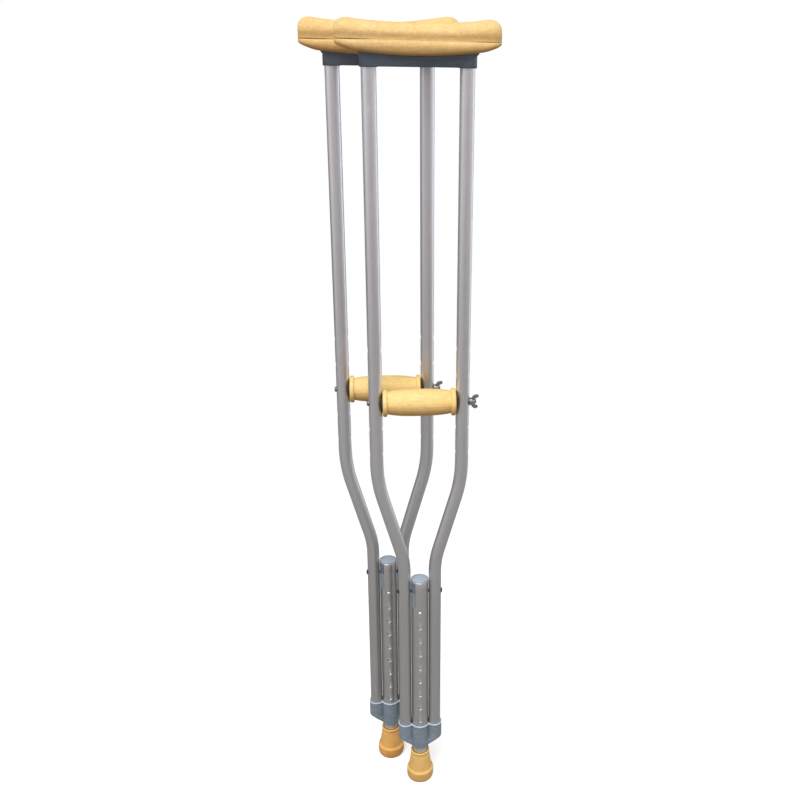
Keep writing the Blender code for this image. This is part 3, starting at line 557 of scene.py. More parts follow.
MATERIALS = {
    "pad": foam_rubber("pad_foam_rubber", (0.890, 0.645, 0.300), (0.790, 0.535, 0.215), (0.560, 0.325, 0.100), 0.66, 1.3),
    "grip": foam_rubber("grip_rubber", (0.960, 0.725, 0.315), (0.900, 0.640, 0.250), (0.620, 0.350, 0.085), 0.56, 0.3),
    "tip_a": foam_rubber("tip_rubber_gold", (0.880, 0.600, 0.230), (0.800, 0.500, 0.150), (0.560, 0.290, 0.065), 0.58, 0.6),
    "tip_b": foam_rubber("tip_rubber_amber", (0.900, 0.560, 0.185), (0.810, 0.440, 0.115), (0.560, 0.240, 0.045), 0.58, 0.6),
    "tube": anodised_tube("anodised_upright", (0.790, 0.772, 0.795), (0.540, 0.535, 0.520), 0.36),
    "centre": anodised_tube("anodised_centre", (0.700, 0.690, 0.700), (0.540, 0.540, 0.525), 0.38),
    "leg": anodised_tube("anodised_leg", (0.780, 0.780, 0.780), (0.720, 0.720, 0.710), 0.28),
    "bracket": moulded("bracket_plastic", (0.165, 0.205, 0.250), (0.060, 0.078, 0.100), (0.043, 0.058, 0.077), 0.42),
    "foot": moulded("foot_plastic", (0.600, 0.690, 0.770), (0.215, 0.268, 0.316), (0.172, 0.216, 0.260), 0.40),
    "cap": moulded("cap_plastic", (0.580, 0.660, 0.740), (0.440, 0.520, 0.600), (0.360, 0.430, 0.500), 0.34, 0.6),
    "black": moulded("black_plastic", (0.060, 0.062, 0.065), (0.014, 0.014, 0.015), (0.008, 0.008, 0.009), 0.46),
    "zinc": plated("zinc_plated_steel", (0.560, 0.565, 0.570), (0.360, 0.362, 0.360), 0.34),
    "wing": plated("cast_wing_zinc", (0.420, 0.425, 0.425), (0.280, 0.282, 0.282), 0.44, False, 1.6),
    "bolt": plated("bolt_steel", (0.300, 0.303, 0.303), (0.190, 0.192, 0.192), 0.42),
    "dark": plated("dark_steel", (0.125, 0.120, 0.125), (0.050, 0.048, 0.052), 0.38),
    "spring": plated("spring_steel", (0.900, 0.900, 0.900), (0.760, 0.765, 0.770), 0.16, True, 0.3),
    "label": printed_film("blue_film"),
}


# ---------------------------------------------------------------- the pieces, each about its own crutch
def upright_line(side):
    corners = [(side * LOWER_X, UPRIGHT_BOTTOM_Z), (side * LOWER_X, BEND_LOW_Z, BEND_LOW_R),
               (side * UPPER_X, BEND_TOP_Z, BEND_TOP_R), (side * UPPER_X, UPRIGHT_TOP_Z)]
    return split_long(soft_line(corners, 22), 0.0130)


def make_upright(side):
    s = Shape()
    line = [Vector(p) for p in upright_line(side)]
    segments = 56
    inner_r = TUBE_R - TUBE_WALL
    rings_out, rings_in = [], []
    for i, p in enumerate(line):
        before, after = line[max(i - 1, 0)], line[min(i + 1, len(line) - 1)]
        tangent = (after - before).normalized()
        across = Vector((tangent.y, -tangent.x))
        radii = [(TUBE_R, 0.0), (inner_r, 0.0)]
        if i in (0, len(line) - 1):
            lean = 0.0004 if i == 0 else -0.0004
            radii = [(TUBE_R, lean), (TUBE_R - 0.00035, 0.0), (inner_r + 0.0003, 0.0), (inner_r, lean)]
        made = []
        for radius, shift in radii:
            made.append(s.ring([
                (p.x + tangent.x * shift + across.x * radius * math.cos(a), radius * math.sin(a),
                 p.y + tangent.y * shift + across.y * radius * math.cos(a))
                for a in (TAU * k / segments for k in range(segments))]))
        if i == 0:
            s.bridge(made[1], made[0]), s.bridge(made[2], made[1]), s.bridge(made[3], made[2])
        if i == len(line) - 1:
            s.bridge(made[0], made[1]), s.bridge(made[1], made[2]), s.bridge(made[2], made[3])
        rings_out.append(made[0])
        rings_in.append(made[-1])
    s.loft(rings_out)
    for low, high in zip(rings_in, rings_in[1:]):
        s.bridge(high, low)
    tools = [drill(BOLT_HOLE_R, -0.02, 0.02, ALONG_X, (side * UPPER_X, 0, GRIP_Z + k * GRIP_PITCH),
                   0.0005, (-TUBE_R, TUBE_R)) for k in range(-2, 3)]
    tools.append(drill(CROSS_R + GAP, -0.015, 0.015, ALONG_X, (side * LOWER_X, 0, CROSS_Z)))
    tools.append(drill(0.0022, -0.02, 0.02, ALONG_Y, (side * UPPER_X, 0, TOP_RIVET_Z)))
    tools.append(drill(0.0022, 0.0, 0.02, ALONG_Y, (side * LOWER_X, 0, FOOT_RIVET_Z)))
    return tidy(cut(s.mesh("upright"), [joined(tools)]))


def pad_section(x, settle):
    u = abs(x)
    top = PAD_SADDLE_Z + PAD_HORN * (u / 0.089) ** 2.4 + settle[0]
    top += (settle[1] if x < 0 else settle[2]) * smooth_step((u - 0.010) / 0.075)
    bottom = PAD_BOTTOM_Z + 0.0062 * (u / 0.090) ** 1.9
    width = PAD_HALF_Y - 0.0012 * (u / PAD_HALF_X) ** 2
    edge = PAD_HALF_X - u
    if edge < 0.024:
        bottom += 0.0046 * (1 - max(edge, 0.0) / 0.024) ** 1.5
    if edge < 0.018:
        t = 1 - max(edge, 0.0) / 0.018
        pull = 1 - math.sqrt(max(0.0, 1 - t ** 2.2))
        top -= 0.0140 * pull
        bottom += 0.0022 * pull
        width -= 0.0100 * pull
    return width, top, bottom


def crease_height(x):
    return 1.1386 - 0.0110 * x


def make_pad(settle):
    """Saddle-topped foam rubber pad: an upper roll, a parting crease and a lower lip that tucks under the rail."""
    s = Shape()
    inner = [-0.0835 + 0.167 * k / 90 for k in range(91)]
    ends = [PAD_HALF_X - 0.018 * (1 - math.sin(math.pi / 2 * k / 18)) for k in range(18, -1, -1)]
    ends = [e for e in ends if e > 0.0838]
    stations = [-e for e in ends] + inner + list(reversed(ends))
    near = np.array([-2.4, -1.6, -1.1, -0.7, -0.4, -0.2, 0.0, 0.2, 0.4, 0.7, 1.1, 1.6, 2.4]) * 0.001
    rings = []
    for x in stations:
        width, top, bottom = pad_section(x, settle)
        mid, half = (top + bottom) / 2, (top - bottom) / 2
        crease = crease_height(x)
        crease = min(max(crease, bottom + 0.15 * (top - bottom)), bottom + 0.62 * (top - bottom))
        turn = np.linspace(math.pi / 2, -math.pi / 2, 1201)
        c, q = np.maximum(np.cos(turn), 0.0), np.sin(turn)
        dense = np.stack([-width * c ** np.where(q > 0, 0.66, 0.24), mid + half * np.sign(q) * np.abs(q) ** np.where(q > 0, 0.80, 0.46)], 1)
        along = np.concatenate([[0], np.cumsum(np.linalg.norm(np.diff(dense, axis=0), axis=1))])
        at_crease = float(np.interp(-crease, -dense[:, 1], along))
        arc = np.concatenate([np.linspace(0, at_crease - 0.0034, 24), at_crease + near,
                              np.linspace(at_crease + 0.0034, along[-1], 30)])
        pts = np.stack([np.interp(arc, along, dense[:, 0]), np.interp(arc, along, dense[:, 1])], 1)
        arc = arc - at_crease
        tangent = np.gradient(pts, axis=0)
        tangent /= np.maximum(np.linalg.norm(tangent, axis=1), 1e-9)[:, None]
        normal = np.stack([tangent[:, 1], -tangent[:, 0]], 1)      # outwards on the front half
        open_seam = smooth_step((abs(x) - 0.045) / 0.040) * (1.0 if x < 0 else 0.45)
        depth = 0.00012 + 0.00115 * open_seam
        groove = depth * np.exp(-(arc / 0.00042) ** 2) + 0.00040 * np.exp(-(arc / 0.0022) ** 2)
        lip = 0.00070 * np.exp(-((arc - 0.0066) / 0.0050) ** 2)
        waist = 0.00090 * np.exp(-((arc + 0.0034) / 0.0040) ** 2)
        move = lip - groove - waist
        front = pts + normal * move[:, None]
        ring = [(x, y, z) for y, z in front]
        ring += [(x, -y, z) for y, z in front[-2:0:-1]]
        rings.append(ring)
    made = []
    for ring in rings:
        out = []
        for p in ring:
            v = Vector(p)
            w = (noise.noise(v * 38.0) * 0.00028 + noise.noise(v * 150.0 + Vector((3, 7, 1))) * 0.00010
                 + noise.noise(Vector((v.x * 110, v.y * 520, v.z * 520))) * 0.00007)
            centre = Vector((v.x, 0, (PAD_SADDLE_Z + PAD_BOTTOM_Z) / 2))
            out.append(v + (v - centre).normalized() * w)
        made.append(s.ring(out))
    s.loft(made)
    for ring, sign in ((made[0], -1), (made[-1], 1)):
        pts = np.array([s.points[i] for i in ring])
        centre = pts.mean(0)
        last = ring
        for share in (0.80, 0.55, 0.28):
            inner_pts = centre + (pts - centre) * share
            inner_pts[:, 0] += sign * 0.0003 * (1 - share)
            nxt = s.ring(inner_pts)
            s.bridge(last, nxt)
            last = nxt
        s.fan(last, centre + np.array([sign * 0.0003, 0, 0]))
    pocket = Shape()
    x, y = RAIL_HALF_X + GAP, RAIL_HALF_Y + GAP
    pts = soft_line([(-x, -y, 0.001), (x, -y, 0.001), (x, y, 0.001), (-x, y, 0.001)], 4, True)
    wide = inset(pts, -0.0012)
    flared = pocket.ring([(p[0], p[1], 1.1000) for p in wide])
    levels = [flared]
    for z in (PAD_BOTTOM_Z + 0.0002, PAD_BOTTOM_Z + 0.0022):
        shape = wide if z < PAD_BOTTOM_Z + 0.001 else pts
        levels.append(pocket.ring([(p[0], p[1], z) for p in shape]))
    levels.append(pocket.ring([(p[0], p[1], RAIL_TOP_Z + GAP) for p in pts]))
    pocket.loft(levels)
    pocket.cap(levels[0])
    pocket.cap(levels[-1])
    mesh = cut(s.mesh("pad"), [pocket])
    mesh = tidy(mesh, 48, 0.10, 3.0)
    co = points_of(mesh)
    # painted shade with grime along the crease, deeper towards the ends where the seam opens, and a painted shade band
    # on the waist just above it
    seam = crease_height(co[:, 0])
    seam_shade_and_dirt = np.exp(-((co[:, 2] - seam + 0.0001) / 0.0007) ** 2) * np.clip((np.abs(co[:, 1]) - 0.012) / 0.004, 0, 1)
    seam_shade_and_dirt *= 0.10 + np.where(co[:, 0] < 0, 0.80, 0.30) * np.clip((np.abs(co[:, 0]) - 0.045) / 0.040, 0, 1)
    shade = 0.24 * np.exp(-((co[:, 2] - seam - 0.0034) / 0.0042) ** 2) * np.clip((np.abs(co[:, 1]) - 0.012) / 0.004, 0, 1)
    seam_shade_and_dirt = np.maximum(seam_shade_and_dirt, shade)
    old = np.zeros(len(co), np.float32)
    mesh.attributes["shade_and_dirt"].data.foreach_get("value", old)
    set_attribute(mesh, "shade_and_dirt", np.clip(np.maximum(old * 0.5, seam_shade_and_dirt), 0, 1))
    return mesh


def make_top_bracket():
    """Channel-shaped plastic rail with a socket for each upright and ribs inside the web."""
    outline = soft_line([(-RAIL_HALF_X, RAIL_TOP_Z, 0.0010), (-RAIL_HALF_X, RAIL_BOTTOM_Z + 0.0030, 0.0016),
                         (-0.0600, BRACKET_BOTTOM_Z, 0.0014), (0.0600, BRACKET_BOTTOM_Z, 0.0014),
                         (RAIL_HALF_X, RAIL_BOTTOM_Z + 0.0030, 0.0016), (RAIL_HALF_X, RAIL_TOP_Z, 0.0010)], 5, True)
    outline = split_long(outline + [outline[0]], 0.010)[:-1]
    s = Shape()
    levels = []
    for y, depth in ((-RAIL_HALF_Y, 0.00075), (-RAIL_HALF_Y + 0.00020, 0.00028), (-RAIL_HALF_Y + 0.00065, 0.0),
                     (RAIL_HALF_Y - 0.00065, 0.0), (RAIL_HALF_Y - 0.00020, 0.00028), (RAIL_HALF_Y, 0.00075)):
        levels.append(s.ring([(x, y, z) for x, z in inset(outline, depth)]))
    s.cap(levels[0])
    s.loft(levels)
    s.cap(levels[-1])
    low = BRACKET_BOTTOM_Z - 0.0006
    boss_profile = soft_line([(0, low), (SOCKET_R, low, 0.0007), (SOCKET_R, RAIL_TOP_Z - 0.0015), (0, RAIL_TOP_Z - 0.0015)], 4)
    mesh = s.mesh("top_bracket")
    mesh = cut(mesh, [joined([Shape().lathe(boss_profile, 56, Matrix.Translation((side * UPPER_X, 0, 0)))
                              for side in (-1, 1)])], "UNION")
    seats = []
    for side in (-1, 1):
        at = (side * UPPER_X, 0, TOP_RIVET_Z)
        place = Matrix.Translation(at) @ ALONG_Y
        seats.append(Shape().lathe([(0, -0.020), (0.0036, -0.020), (0.0036, -0.0107), (0.0022, -0.0107),
                                    (0.0022, 0.0107), (0.0036, 0.0107), (0.0036, 0.020), (0, 0.020)], 32, place))
    mesh = cut(mesh, [joined(seats)])
    bores = []
    for side in (-1, 1):
        fit = TUBE_R + GAP
        bores.append(Shape().lathe([(0, low - 0.01), (fit + 0.0006, low - 0.01), (fit + 0.0006, low), (fit, low + 0.0008),
                                    (fit, UPRIGHT_TOP_Z + GAP), (0, UPRIGHT_TOP_Z + GAP)], 56,
                                   Matrix.Translation((side * UPPER_X, 0, 0))))
    for k in range(4):
        x0 = -0.0460 + 0.0230 * k + (0.0006 if k else 0)
        x1 = -0.0460 + 0.0230 * (k + 1) - (0.0006 if k < 3 else 0)
        hollow = Shape()
        pts = soft_line([(x0, -0.0096, 0.0012), (x1, -0.0096, 0.0012), (x1, 0.0096, 0.0012), (x0, 0.0096, 0.0012)], 3, True)
        a = hollow.ring([(p[0], p[1], BRACKET_BOTTOM_Z - 0.01) for p in pts])
        b = hollow.ring([(p[0], p[1], RAIL_TOP_Z - 0.0030) for p in pts])
        hollow.bridge(a, b)
        hollow.cap(a)
        hollow.cap(b)
        bores.append(hollow)
    mesh = tidy(cut(mesh, [joined(bores)]), 28)
    co = points_of(mesh)
    # painted light: the ends of the web are paler, where the pad's overhang no longer shades them
    ends = np.clip((np.abs(co[:, 0]) - 0.040) / 0.030, 0, 1) ** 1.5
    old = np.zeros(len(co), np.float32)
    mesh.attributes["wear_and_highlight"].data.foreach_get("value", old)
    set_attribute(mesh, "wear_and_highlight", np.clip(np.maximum(old * 0.6, 0.42 * ends), 0, 1))
    # painted shade: a dark line along the bottom edge of the bracket
    painted_low_edge_shade = np.exp(-((co[:, 2] - BRACKET_BOTTOM_Z) / 0.0007) ** 2)
    set_attribute(mesh, "shade_and_dirt", 0.85 * painted_low_edge_shade)
    return mesh


def make_top_rivet(side):
    head = soft_line([(0, -0.01185), (0.0018, -0.0118), (0.0031, -0.0113, 0.0003), (0.0031, -0.0110), (0.0019, -0.0110),
                      (0.0019, 0.0110), (0.0031, 0.0110), (0.0031, 0.0113, 0.0003), (0.0018, 0.0118), (0, 0.01185)], 3)
    place = Matrix.Translation((side * UPPER_X, 0, TOP_RIVET_Z)) @ ALONG_Y
    return tidy(Shape().lathe(head, 32, place).mesh("rivet"))


def lobe_radius(angle, side_x, side_r, centre_r):
    reach = centre_r
    c, q = math.cos(angle), math.sin(angle)
    for d in (side_x * c, -side_x * c):
        inside = side_r ** 2 - (side_x * q) ** 2
        if d > 0 and inside > 0:
            reach = max(reach, d + math.sqrt(inside))
    return reach


FOOT_LEVELS = [(0.0635, 0.0040, 0.0090, 0.0140), (0.0690, 0.0092, 0.0098, 0.0146),
               (0.0740, 0.0150, 0.0108, 0.0151), (0.0815, 0.02315, 0.0117, 0.0153),
               (0.1098, 0.02315, 0.0117, 0.0155)]


def foot_outline(z, count=240):
    for low, high in zip(FOOT_LEVELS, FOOT_LEVELS[1:]):
        if z <= high[0]:
            break
    t = (z - low[0]) / (high[0] - low[0])
    size = [a + (b - a) * t for a, b in zip(low, high)]
    radii = np.array([lobe_radius(TAU * k / count, *size[1:]) for k in range(count)])
    kernel = np.array([1, 3, 4, 3, 1], float)
    kernel /= kernel.sum()
    soft = sum(w * np.roll(radii, k - 2) for k, w in enumerate(kernel))
    radii = np.minimum(soft, radii + 0.0004)
    angle = TAU * np.arange(count) / count
    return np.stack([radii * np.cos(angle), radii * np.sin(angle)], 1)


def make_foot_bracket():
    """Three-lobed plastic collar that tapers to the leg, with a thin bevelled rim."""
    s = Shape()
    heights = [(FOOT_BOTTOM_Z, 0.0009), (FOOT_BOTTOM_Z + 0.0002, 0.0004), (FOOT_BOTTOM_Z + 0.0008, 0.0)]
    z = FOOT_BOTTOM_Z + 0.0018
    while z < FOOT_TOP_Z - 0.0072:
        heights.append((z, 0.0))
        z += 0.0012
    top = FOOT_TOP_Z
    heights += [(top - 0.0062, 0.0), (top - 0.0054, 0.00005), (top - 0.0049, 0.00045), (top - 0.0043, 0.00045), (top - 0.0038, 0.00005),
                (top - 0.0028, -0.00012), (top - 0.0014, -0.00025), (top - 0.0007, -0.00020), (top - 0.0002, 0.00002), (top, 0.00030)]
    levels = [s.ring([(x, y, z) for x, y in inset(foot_outline(z), depth)]) for z, depth in heights]
    s.cap(levels[0])
    s.loft(levels)
    s.cap(levels[-1])
    mesh = s.mesh("foot_bracket")
    fit, middle = TUBE_R + GAP, CENTRE_R + GAP
    bores = [Shape().lathe([(0, UPRIGHT_BOTTOM_Z - GAP), (fit, UPRIGHT_BOTTOM_Z - GAP), (fit, top - 0.0010),
                            (fit + 0.0006, top + 0.0001), (fit + 0.0006, 0.2), (0, 0.2)], 64,
                           Matrix.Translation((side * LOWER_X, 0, 0))) for side in (-1, 1)]
    mesh = cut(mesh, [joined(bores)])
    centre = Shape().lathe([(0, 0.02), (LEG_R + GAP + 0.0004, 0.02), (LEG_R + GAP + 0.0004, FOOT_BOTTOM_Z - 0.0001),
                            (LEG_R + GAP, FOOT_BOTTOM_Z + 0.0008), (LEG_R + GAP, CENTRE_BOTTOM_Z - GAP),
                            (middle, CENTRE_BOTTOM_Z - GAP), (middle, top - 0.0010), (middle + 0.0005, top + 0.0001),
                            (middle + 0.0005, 0.2), (0, 0.2)], 72)
    mesh = cut(mesh, [centre])
    holes = [drill(0.0022, 0.0, 0.02, ALONG_Y, (side * LOWER_X, 0, FOOT_RIVET_Z)) for side in (-1, 1)]
    mesh = tidy(cut(mesh, [joined(holes)]), 34)
    co = points_of(mesh)
    # painted highlight on the top of the rim, painted shade in the groove under it and down the valleys between the
    # lobes
    rim = np.clip((co[:, 2] - (top - 0.0022)) / 0.0010, 0, 1)
    groove = np.exp(-((co[:, 2] - (top - 0.0046)) / 0.0009) ** 2)
    valley_shade = np.exp(-((np.abs(co[:, 0]) - 0.0128) / 0.0016) ** 2) * (np.abs(co[:, 1]) > 0.0045) * (co[:, 2] > FOOT_FULL_Z - 0.006)
    set_attribute(mesh, "wear_and_highlight", rim)
    set_attribute(mesh, "shade_and_dirt", np.clip(0.40 * groove + 0.50 * valley_shade, 0, 1) * (1 - rim))
    return mesh


def make_foot_rivet(side):
    profile = soft_line([(0, 0.0062), (0.0024, 0.0062, 0.0003), (0.0028, 0.0072, 0.0003), (0.0019, 0.0079), (0.0019, 0.0120),
                         (0.0034, 0.0120), (0.0034, 0.0122, 0.0002), (0.0027, 0.0129, 0.0005), (0.0012, 0.0133, 0.0003),
                         (0.0010, 0.0129, 0.0002), (0, 0.0129)], 3)
    place = Matrix.Translation((side * LOWER_X, 0, FOOT_RIVET_Z)) @ ALONG_Y
    return tidy(Shape().lathe(profile, 32, place).mesh("rivet"))


def straight_tube(outer, wall, low, high, segments, longest=0.010):
    bevel = 0.0003
    out_line = split_long([(outer, low + bevel), (outer, high - bevel)], longest)
    in_line = split_long([(outer - wall, high - bevel), (outer - wall, low + bevel)], longest)
    profile = [(outer - bevel, low)] + out_line + [(outer - bevel, high), (outer - wall + bevel, high)] + in_line \
        + [(outer - wall + bevel, low)]
    return Shape().lathe(profile, segments).mesh("tube")


def make_centre_tube():
    mesh = straight_tube(CENTRE_R, CENTRE_WALL, CENTRE_BOTTOM_Z, CENTRE_TOP_Z, 80)
    tools = [drill(BUTTON_HOLE_R, -0.02, 0.0, ALONG_Y, (0, 0, BUTTON_Z - k * LEG_PITCH), 0.0004, (-CENTRE_R + 0.0003,), 32)
             for k in range(LEG_HOLES)]
    tools.append(drill(CROSS_R + GAP, -0.02, 0.02, ALONG_X, (0, 0, CROSS_Z)))
    return tidy(cut(mesh, [joined(tools)]), 30)


def make_cap():
    inside = CENTRE_R - CENTRE_WALL - GAP
    rest = CENTRE_TOP_Z + GAP
    profile = soft_line([(0, rest + 0.0006), (inside - 0.0014, rest + 0.0006, 0.0004), (inside - 0.0014, 0.3670, 0.0003),
                         (inside, 0.3670, 0.0003), (inside, rest), (CENTRE_R, rest, 0.0002), (CENTRE_R, rest + 0.0011, 0.0004),
                         (CENTRE_R - 0.0006, rest + 0.0014, 0.0003), (CENTRE_R - 0.0018, rest + 0.0012, 0.0003),
                         (0.0092, rest + 0.0017, 0.004), (0.0045, rest + 0.0021, 0.004), (0, rest + 0.0022)], 5)
    mesh = tidy(Shape().lathe(profile, 80).mesh("cap"), 30)
    co = points_of(mesh)
    # the outer ring of the cap's top is painted darker
    rim = np.clip((np.hypot(co[:, 0], co[:, 1]) - (CENTRE_R - 0.0020)) / 0.0008, 0, 1) * (co[:, 2] > rest - 0.0001)
    set_attribute(mesh, "shade_and_dirt", 0.55 * rim)
    return mesh


def make_label():
    """A thin curved sticker with rounded corners, on the front left of the centre tube."""
    inner, outer, low, high = CENTRE_R + GAP, CENTRE_R + GAP + 0.00022, 0.3330, 0.3755
    mid, half, radius = (low + high) / 2, (high - low) / 2, 0.0016
    s = Shape()
    steps, rows = 14, 24
    start, sweep = math.radians(33), math.radians(31)
    grid = {}
    for surface, r in (("out", outer), ("in", inner)):
        for i in range(rows + 1):
            for k in range(steps + 1):
                arc = sweep * k / steps
                side = min(arc, sweep - arc) * inner
                reach = half if side >= radius else half - radius + math.sqrt(max(0.0, radius ** 2 - (radius - side) ** 2))
                z = mid + reach * (2 * i / rows - 1)
                a = start + arc
                grid[surface, i, k] = s.ring([(-r * math.sin(a), -r * math.cos(a), z)])[0]
    for i in range(rows):
        for k in range(steps):
            s.faces.append((grid["out", i, k], grid["out", i, k + 1], grid["out", i + 1, k + 1], grid["out", i + 1, k]))
            s.faces.append((grid["in", i, k], grid["in", i + 1, k], grid["in", i + 1, k + 1], grid["in", i, k + 1]))
    for k in range(steps):
        for i in (0, rows):
            s.faces.append((grid["out", i, k], grid["in", i, k], grid["in", i, k + 1], grid["out", i, k + 1]))
    for i in range(rows):
        for k in (0, steps):
            s.faces.append((grid["out", i, k], grid["out", i + 1, k], grid["in", i + 1, k], grid["in", i, k]))
    return tidy(s.mesh("label"), 30, 0.3, 2.0)


def make_cross_rivet():
    seat = LOWER_X + TUBE_R + GAP
    half = soft_line([(0, -seat - 0.0017), (0.0014, -seat - 0.0016, 0.0010), (0.0034, -seat - 0.0011, 0.0010),
                      (0.0044, -seat - 0.0001, 0.0002), (0.0043, -seat), (CROSS_R, -seat, 0.0001)], 4)
    profile = half + [(r, -h) for r, h in reversed(half)]
    return tidy(Shape().lathe(profile, 36, Matrix.Translation((0, 0, CROSS_Z)) @ ALONG_X).mesh("cross_rivet"))


def make_leg_tube():
    mesh = straight_tube(LEG_R, LEG_WALL, LEG_BOTTOM_Z, LEG_TOP_Z, 72, 0.012)
    return tidy(cut(mesh, [drill(BUTTON_HOLE_R, -0.02, 0.0, ALONG_Y, (0, 0, BUTTON_Z), 0.0003, (-LEG_R + 0.0002,), 32)]), 30)


def make_leg_bushing():
    fit, seat, wide = LEG_R - LEG_WALL - GAP, LEG_TOP_Z + GAP, CENTRE_R - CENTRE_WALL - GAP
    profile = soft_line([(fit - 0.0014, seat - 0.0080, 0.0003), (fit, seat - 0.0080, 0.0004), (fit, seat), (wide, seat, 0.0003),
                         (wide, seat + 0.0026, 0.0005), (fit - 0.0014, seat + 0.0026, 0.0004)], 3, True)
    return tidy(Shape().lathe(profile, 64).mesh("bushing"))


def make_snap_button():
    tip = -(CENTRE_R + BUTTON_PROUD)
    dome = [(BUTTON_R * math.sin(t), tip + 0.0024 * (1 - math.cos(t))) for t in (math.pi / 2 * k / 12 for k in range(1, 13))]
    profile = [(0, tip)] + dome + soft_line([(BUTTON_R, tip + 0.003), (BUTTON_R, -0.0100), (BUTTON_R - 0.0002, -0.0098), (0, -0.0098)], 2)
    return tidy(Shape().lathe(profile, 40, Matrix.Translation((0, 0, BUTTON_Z)) @ ALONG_Y).mesh("button"))


def make_button_spring():
    """Leaf spring bent to a V: one arm behind the button, the other on the leg's back wall."""
    line = [(-0.00925, 0.0085), (-0.00925, -0.0080), (-0.0045, -0.0420)]
    arc = [(-0.0045 * math.cos(t), -0.0420 - 0.0045 * math.sin(t)) for t in (math.pi * k / 18 for k in range(19))]
    line = soft_line([(-0.00925, 0.0085), (-0.00925, -0.0080, 0.010), arc[0]], 8)[:-1] + arc \
        + soft_line([arc[-1], (0.00925, -0.0080, 0.010), (0.00925, 0.0085)], 8)[1:]
    line = [Vector(p) for p in line]
    half, thick, edge = 0.0029, 0.00022, 0.00010
    s, rings = Shape(), []
    for i, p in enumerate(line):
        ahead = (line[min(i + 1, len(line) - 1)] - line[max(i - 1, 0)]).normalized()
        n = Vector((ahead.y, -ahead.x))
        ring = []
        for w, d in ((-half, thick - edge), (-half + edge, thick), (half - edge, thick), (half, thick - edge),
                     (half, -thick + edge), (half - edge, -thick), (-half + edge, -thick), (-half, -thick + edge)):
            ring.append((w, p.x + n.x * d, BUTTON_Z + p.y + n.y * d))
        rings.append(s.ring(ring))
    s.loft(rings)
    s.cap(rings[0])
    s.cap(rings[-1])
    return tidy(s.mesh("spring"), 40)


def make_tip():
    """Flared rubber ferrule with a bead at the mouth, a stepped base and ring grooves in the sole."""
    sole = [(0, 0.0), (0.0070, 0.0, 0.0003), (0.0073, 0.0012, 0.0003), (0.0090, 0.0012, 0.0003), (0.0093, 0.0, 0.0003),
            (0.0112, 0.0, 0.0003), (0.0115, 0.0012, 0.0003), (0.0132, 0.0012, 0.0003), (0.0135, 0.0, 0.0003),
            (0.0154, 0.0, 0.0003), (0.0157, 0.0012, 0.0003), (0.0174, 0.0012, 0.0003), (0.0177, 0.0, 0.0003)]
    side = [(0.0199, 0.0, 0.0014), (0.0213, 0.0032, 0.003), (0.0216, 0.0090, 0.004), (0.0215, 0.0152, 0.002),
            (0.0213, 0.0175, 0.0011), (0.0199, 0.0184, 0.0009), (0.0187, 0.0195, 0.0016), (0.0181, 0.0235, 0.006),
            (0.0167, 0.0330, 0.010), (0.0152, 0.0430, 0.006), (0.0149, 0.0449, 0.0002), (0.01455, 0.0452, 0.0002),
            (0.01455, 0.0457, 0.0002), (0.0148, 0.0460, 0.0002), (0.0146, 0.0474, 0.0002), (0.01420, 0.0477, 0.0002),
            (0.01420, 0.0482, 0.0002), (0.0145, 0.0485, 0.0002), (0.0144, 0.0494, 0.0008), (0.0149, 0.0502, 0.0008),
            (0.0151, 0.0518, 0.0010), (0.0148, TIP_TOP_Z - 0.0002, 0.0007), (0.0137, TIP_TOP_Z + 0.0001, 0.0006),
            (LEG_R + GAP + 0.0006, TIP_TOP_Z - 0.0003, 0.0006), (LEG_R + GAP, TIP_TOP_Z - 0.0016, 0.0006),
            (LEG_R + GAP, TIP_FLOOR_Z, 0.0008), (0, TIP_FLOOR_Z)]
    profile = split_long(soft_line(sole + side, 4), 0.0020)

    def shape(angle, r, h):
        front = min(abs((angle - 1.5 * math.pi + math.pi) % TAU - math.pi), abs((angle - 0.5 * math.pi + math.pi) % TAU - math.pi))
        if r > 0.0139 and 0.0010 < h < TIP_TOP_Z - 0.001:
            r += 0.00022 * math.exp(-(front * r / 0.00055) ** 2)
        soft = 0.00012 * noise.noise(Vector((math.cos(angle) * 1.4, math.sin(angle) * 1.4, h * 90)))
        return r + (soft if r > 0.0145 and h > 0.002 else 0.0)

    mesh = tidy(Shape().lathe(profile, 144, shape=shape).mesh("tip"), 50, 0.08, 4.0)
    co = points_of(mesh)
    radius = np.hypot(co[:, 0], co[:, 1])
    worn, hollow = np.zeros(len(co), np.float32), np.zeros(len(co), np.float32)
    mesh.attributes["wear_and_highlight"].data.foreach_get("value", worn)
    mesh.attributes["shade_and_dirt"].data.foreach_get("value", hollow)
    # painted highlight on the bead at the mouth; the base band below the step is painted a little darker
    lip = (co[:, 2] > TIP_TOP_Z - 0.0024) & (radius > LEG_R + 0.0012)
    band = (co[:, 2] < 0.0165) & (radius > 0.0200)
    set_attribute(mesh, "wear_and_highlight", np.where(lip, 1.0, worn))
    set_attribute(mesh, "shade_and_dirt", np.maximum(hollow, 0.16 * band))
    return mesh


def make_tip_washer():
    profile = soft_line([(0, TIP_FLOOR_Z + GAP), (0.0112, TIP_FLOOR_Z + GAP, 0.0003), (0.0112, LEG_BOTTOM_Z - GAP, 0.0003),
                         (0, LEG_BOTTOM_Z - GAP)], 3)
    return tidy(Shape().lathe(profile, 56).mesh("tip_washer"))


def grip_radius(x):
    x = abs(x)
    return 0.0162 + 0.0030 * math.cos(math.pi / 2 * min(1.0, x / 0.0445) ** 1.6)


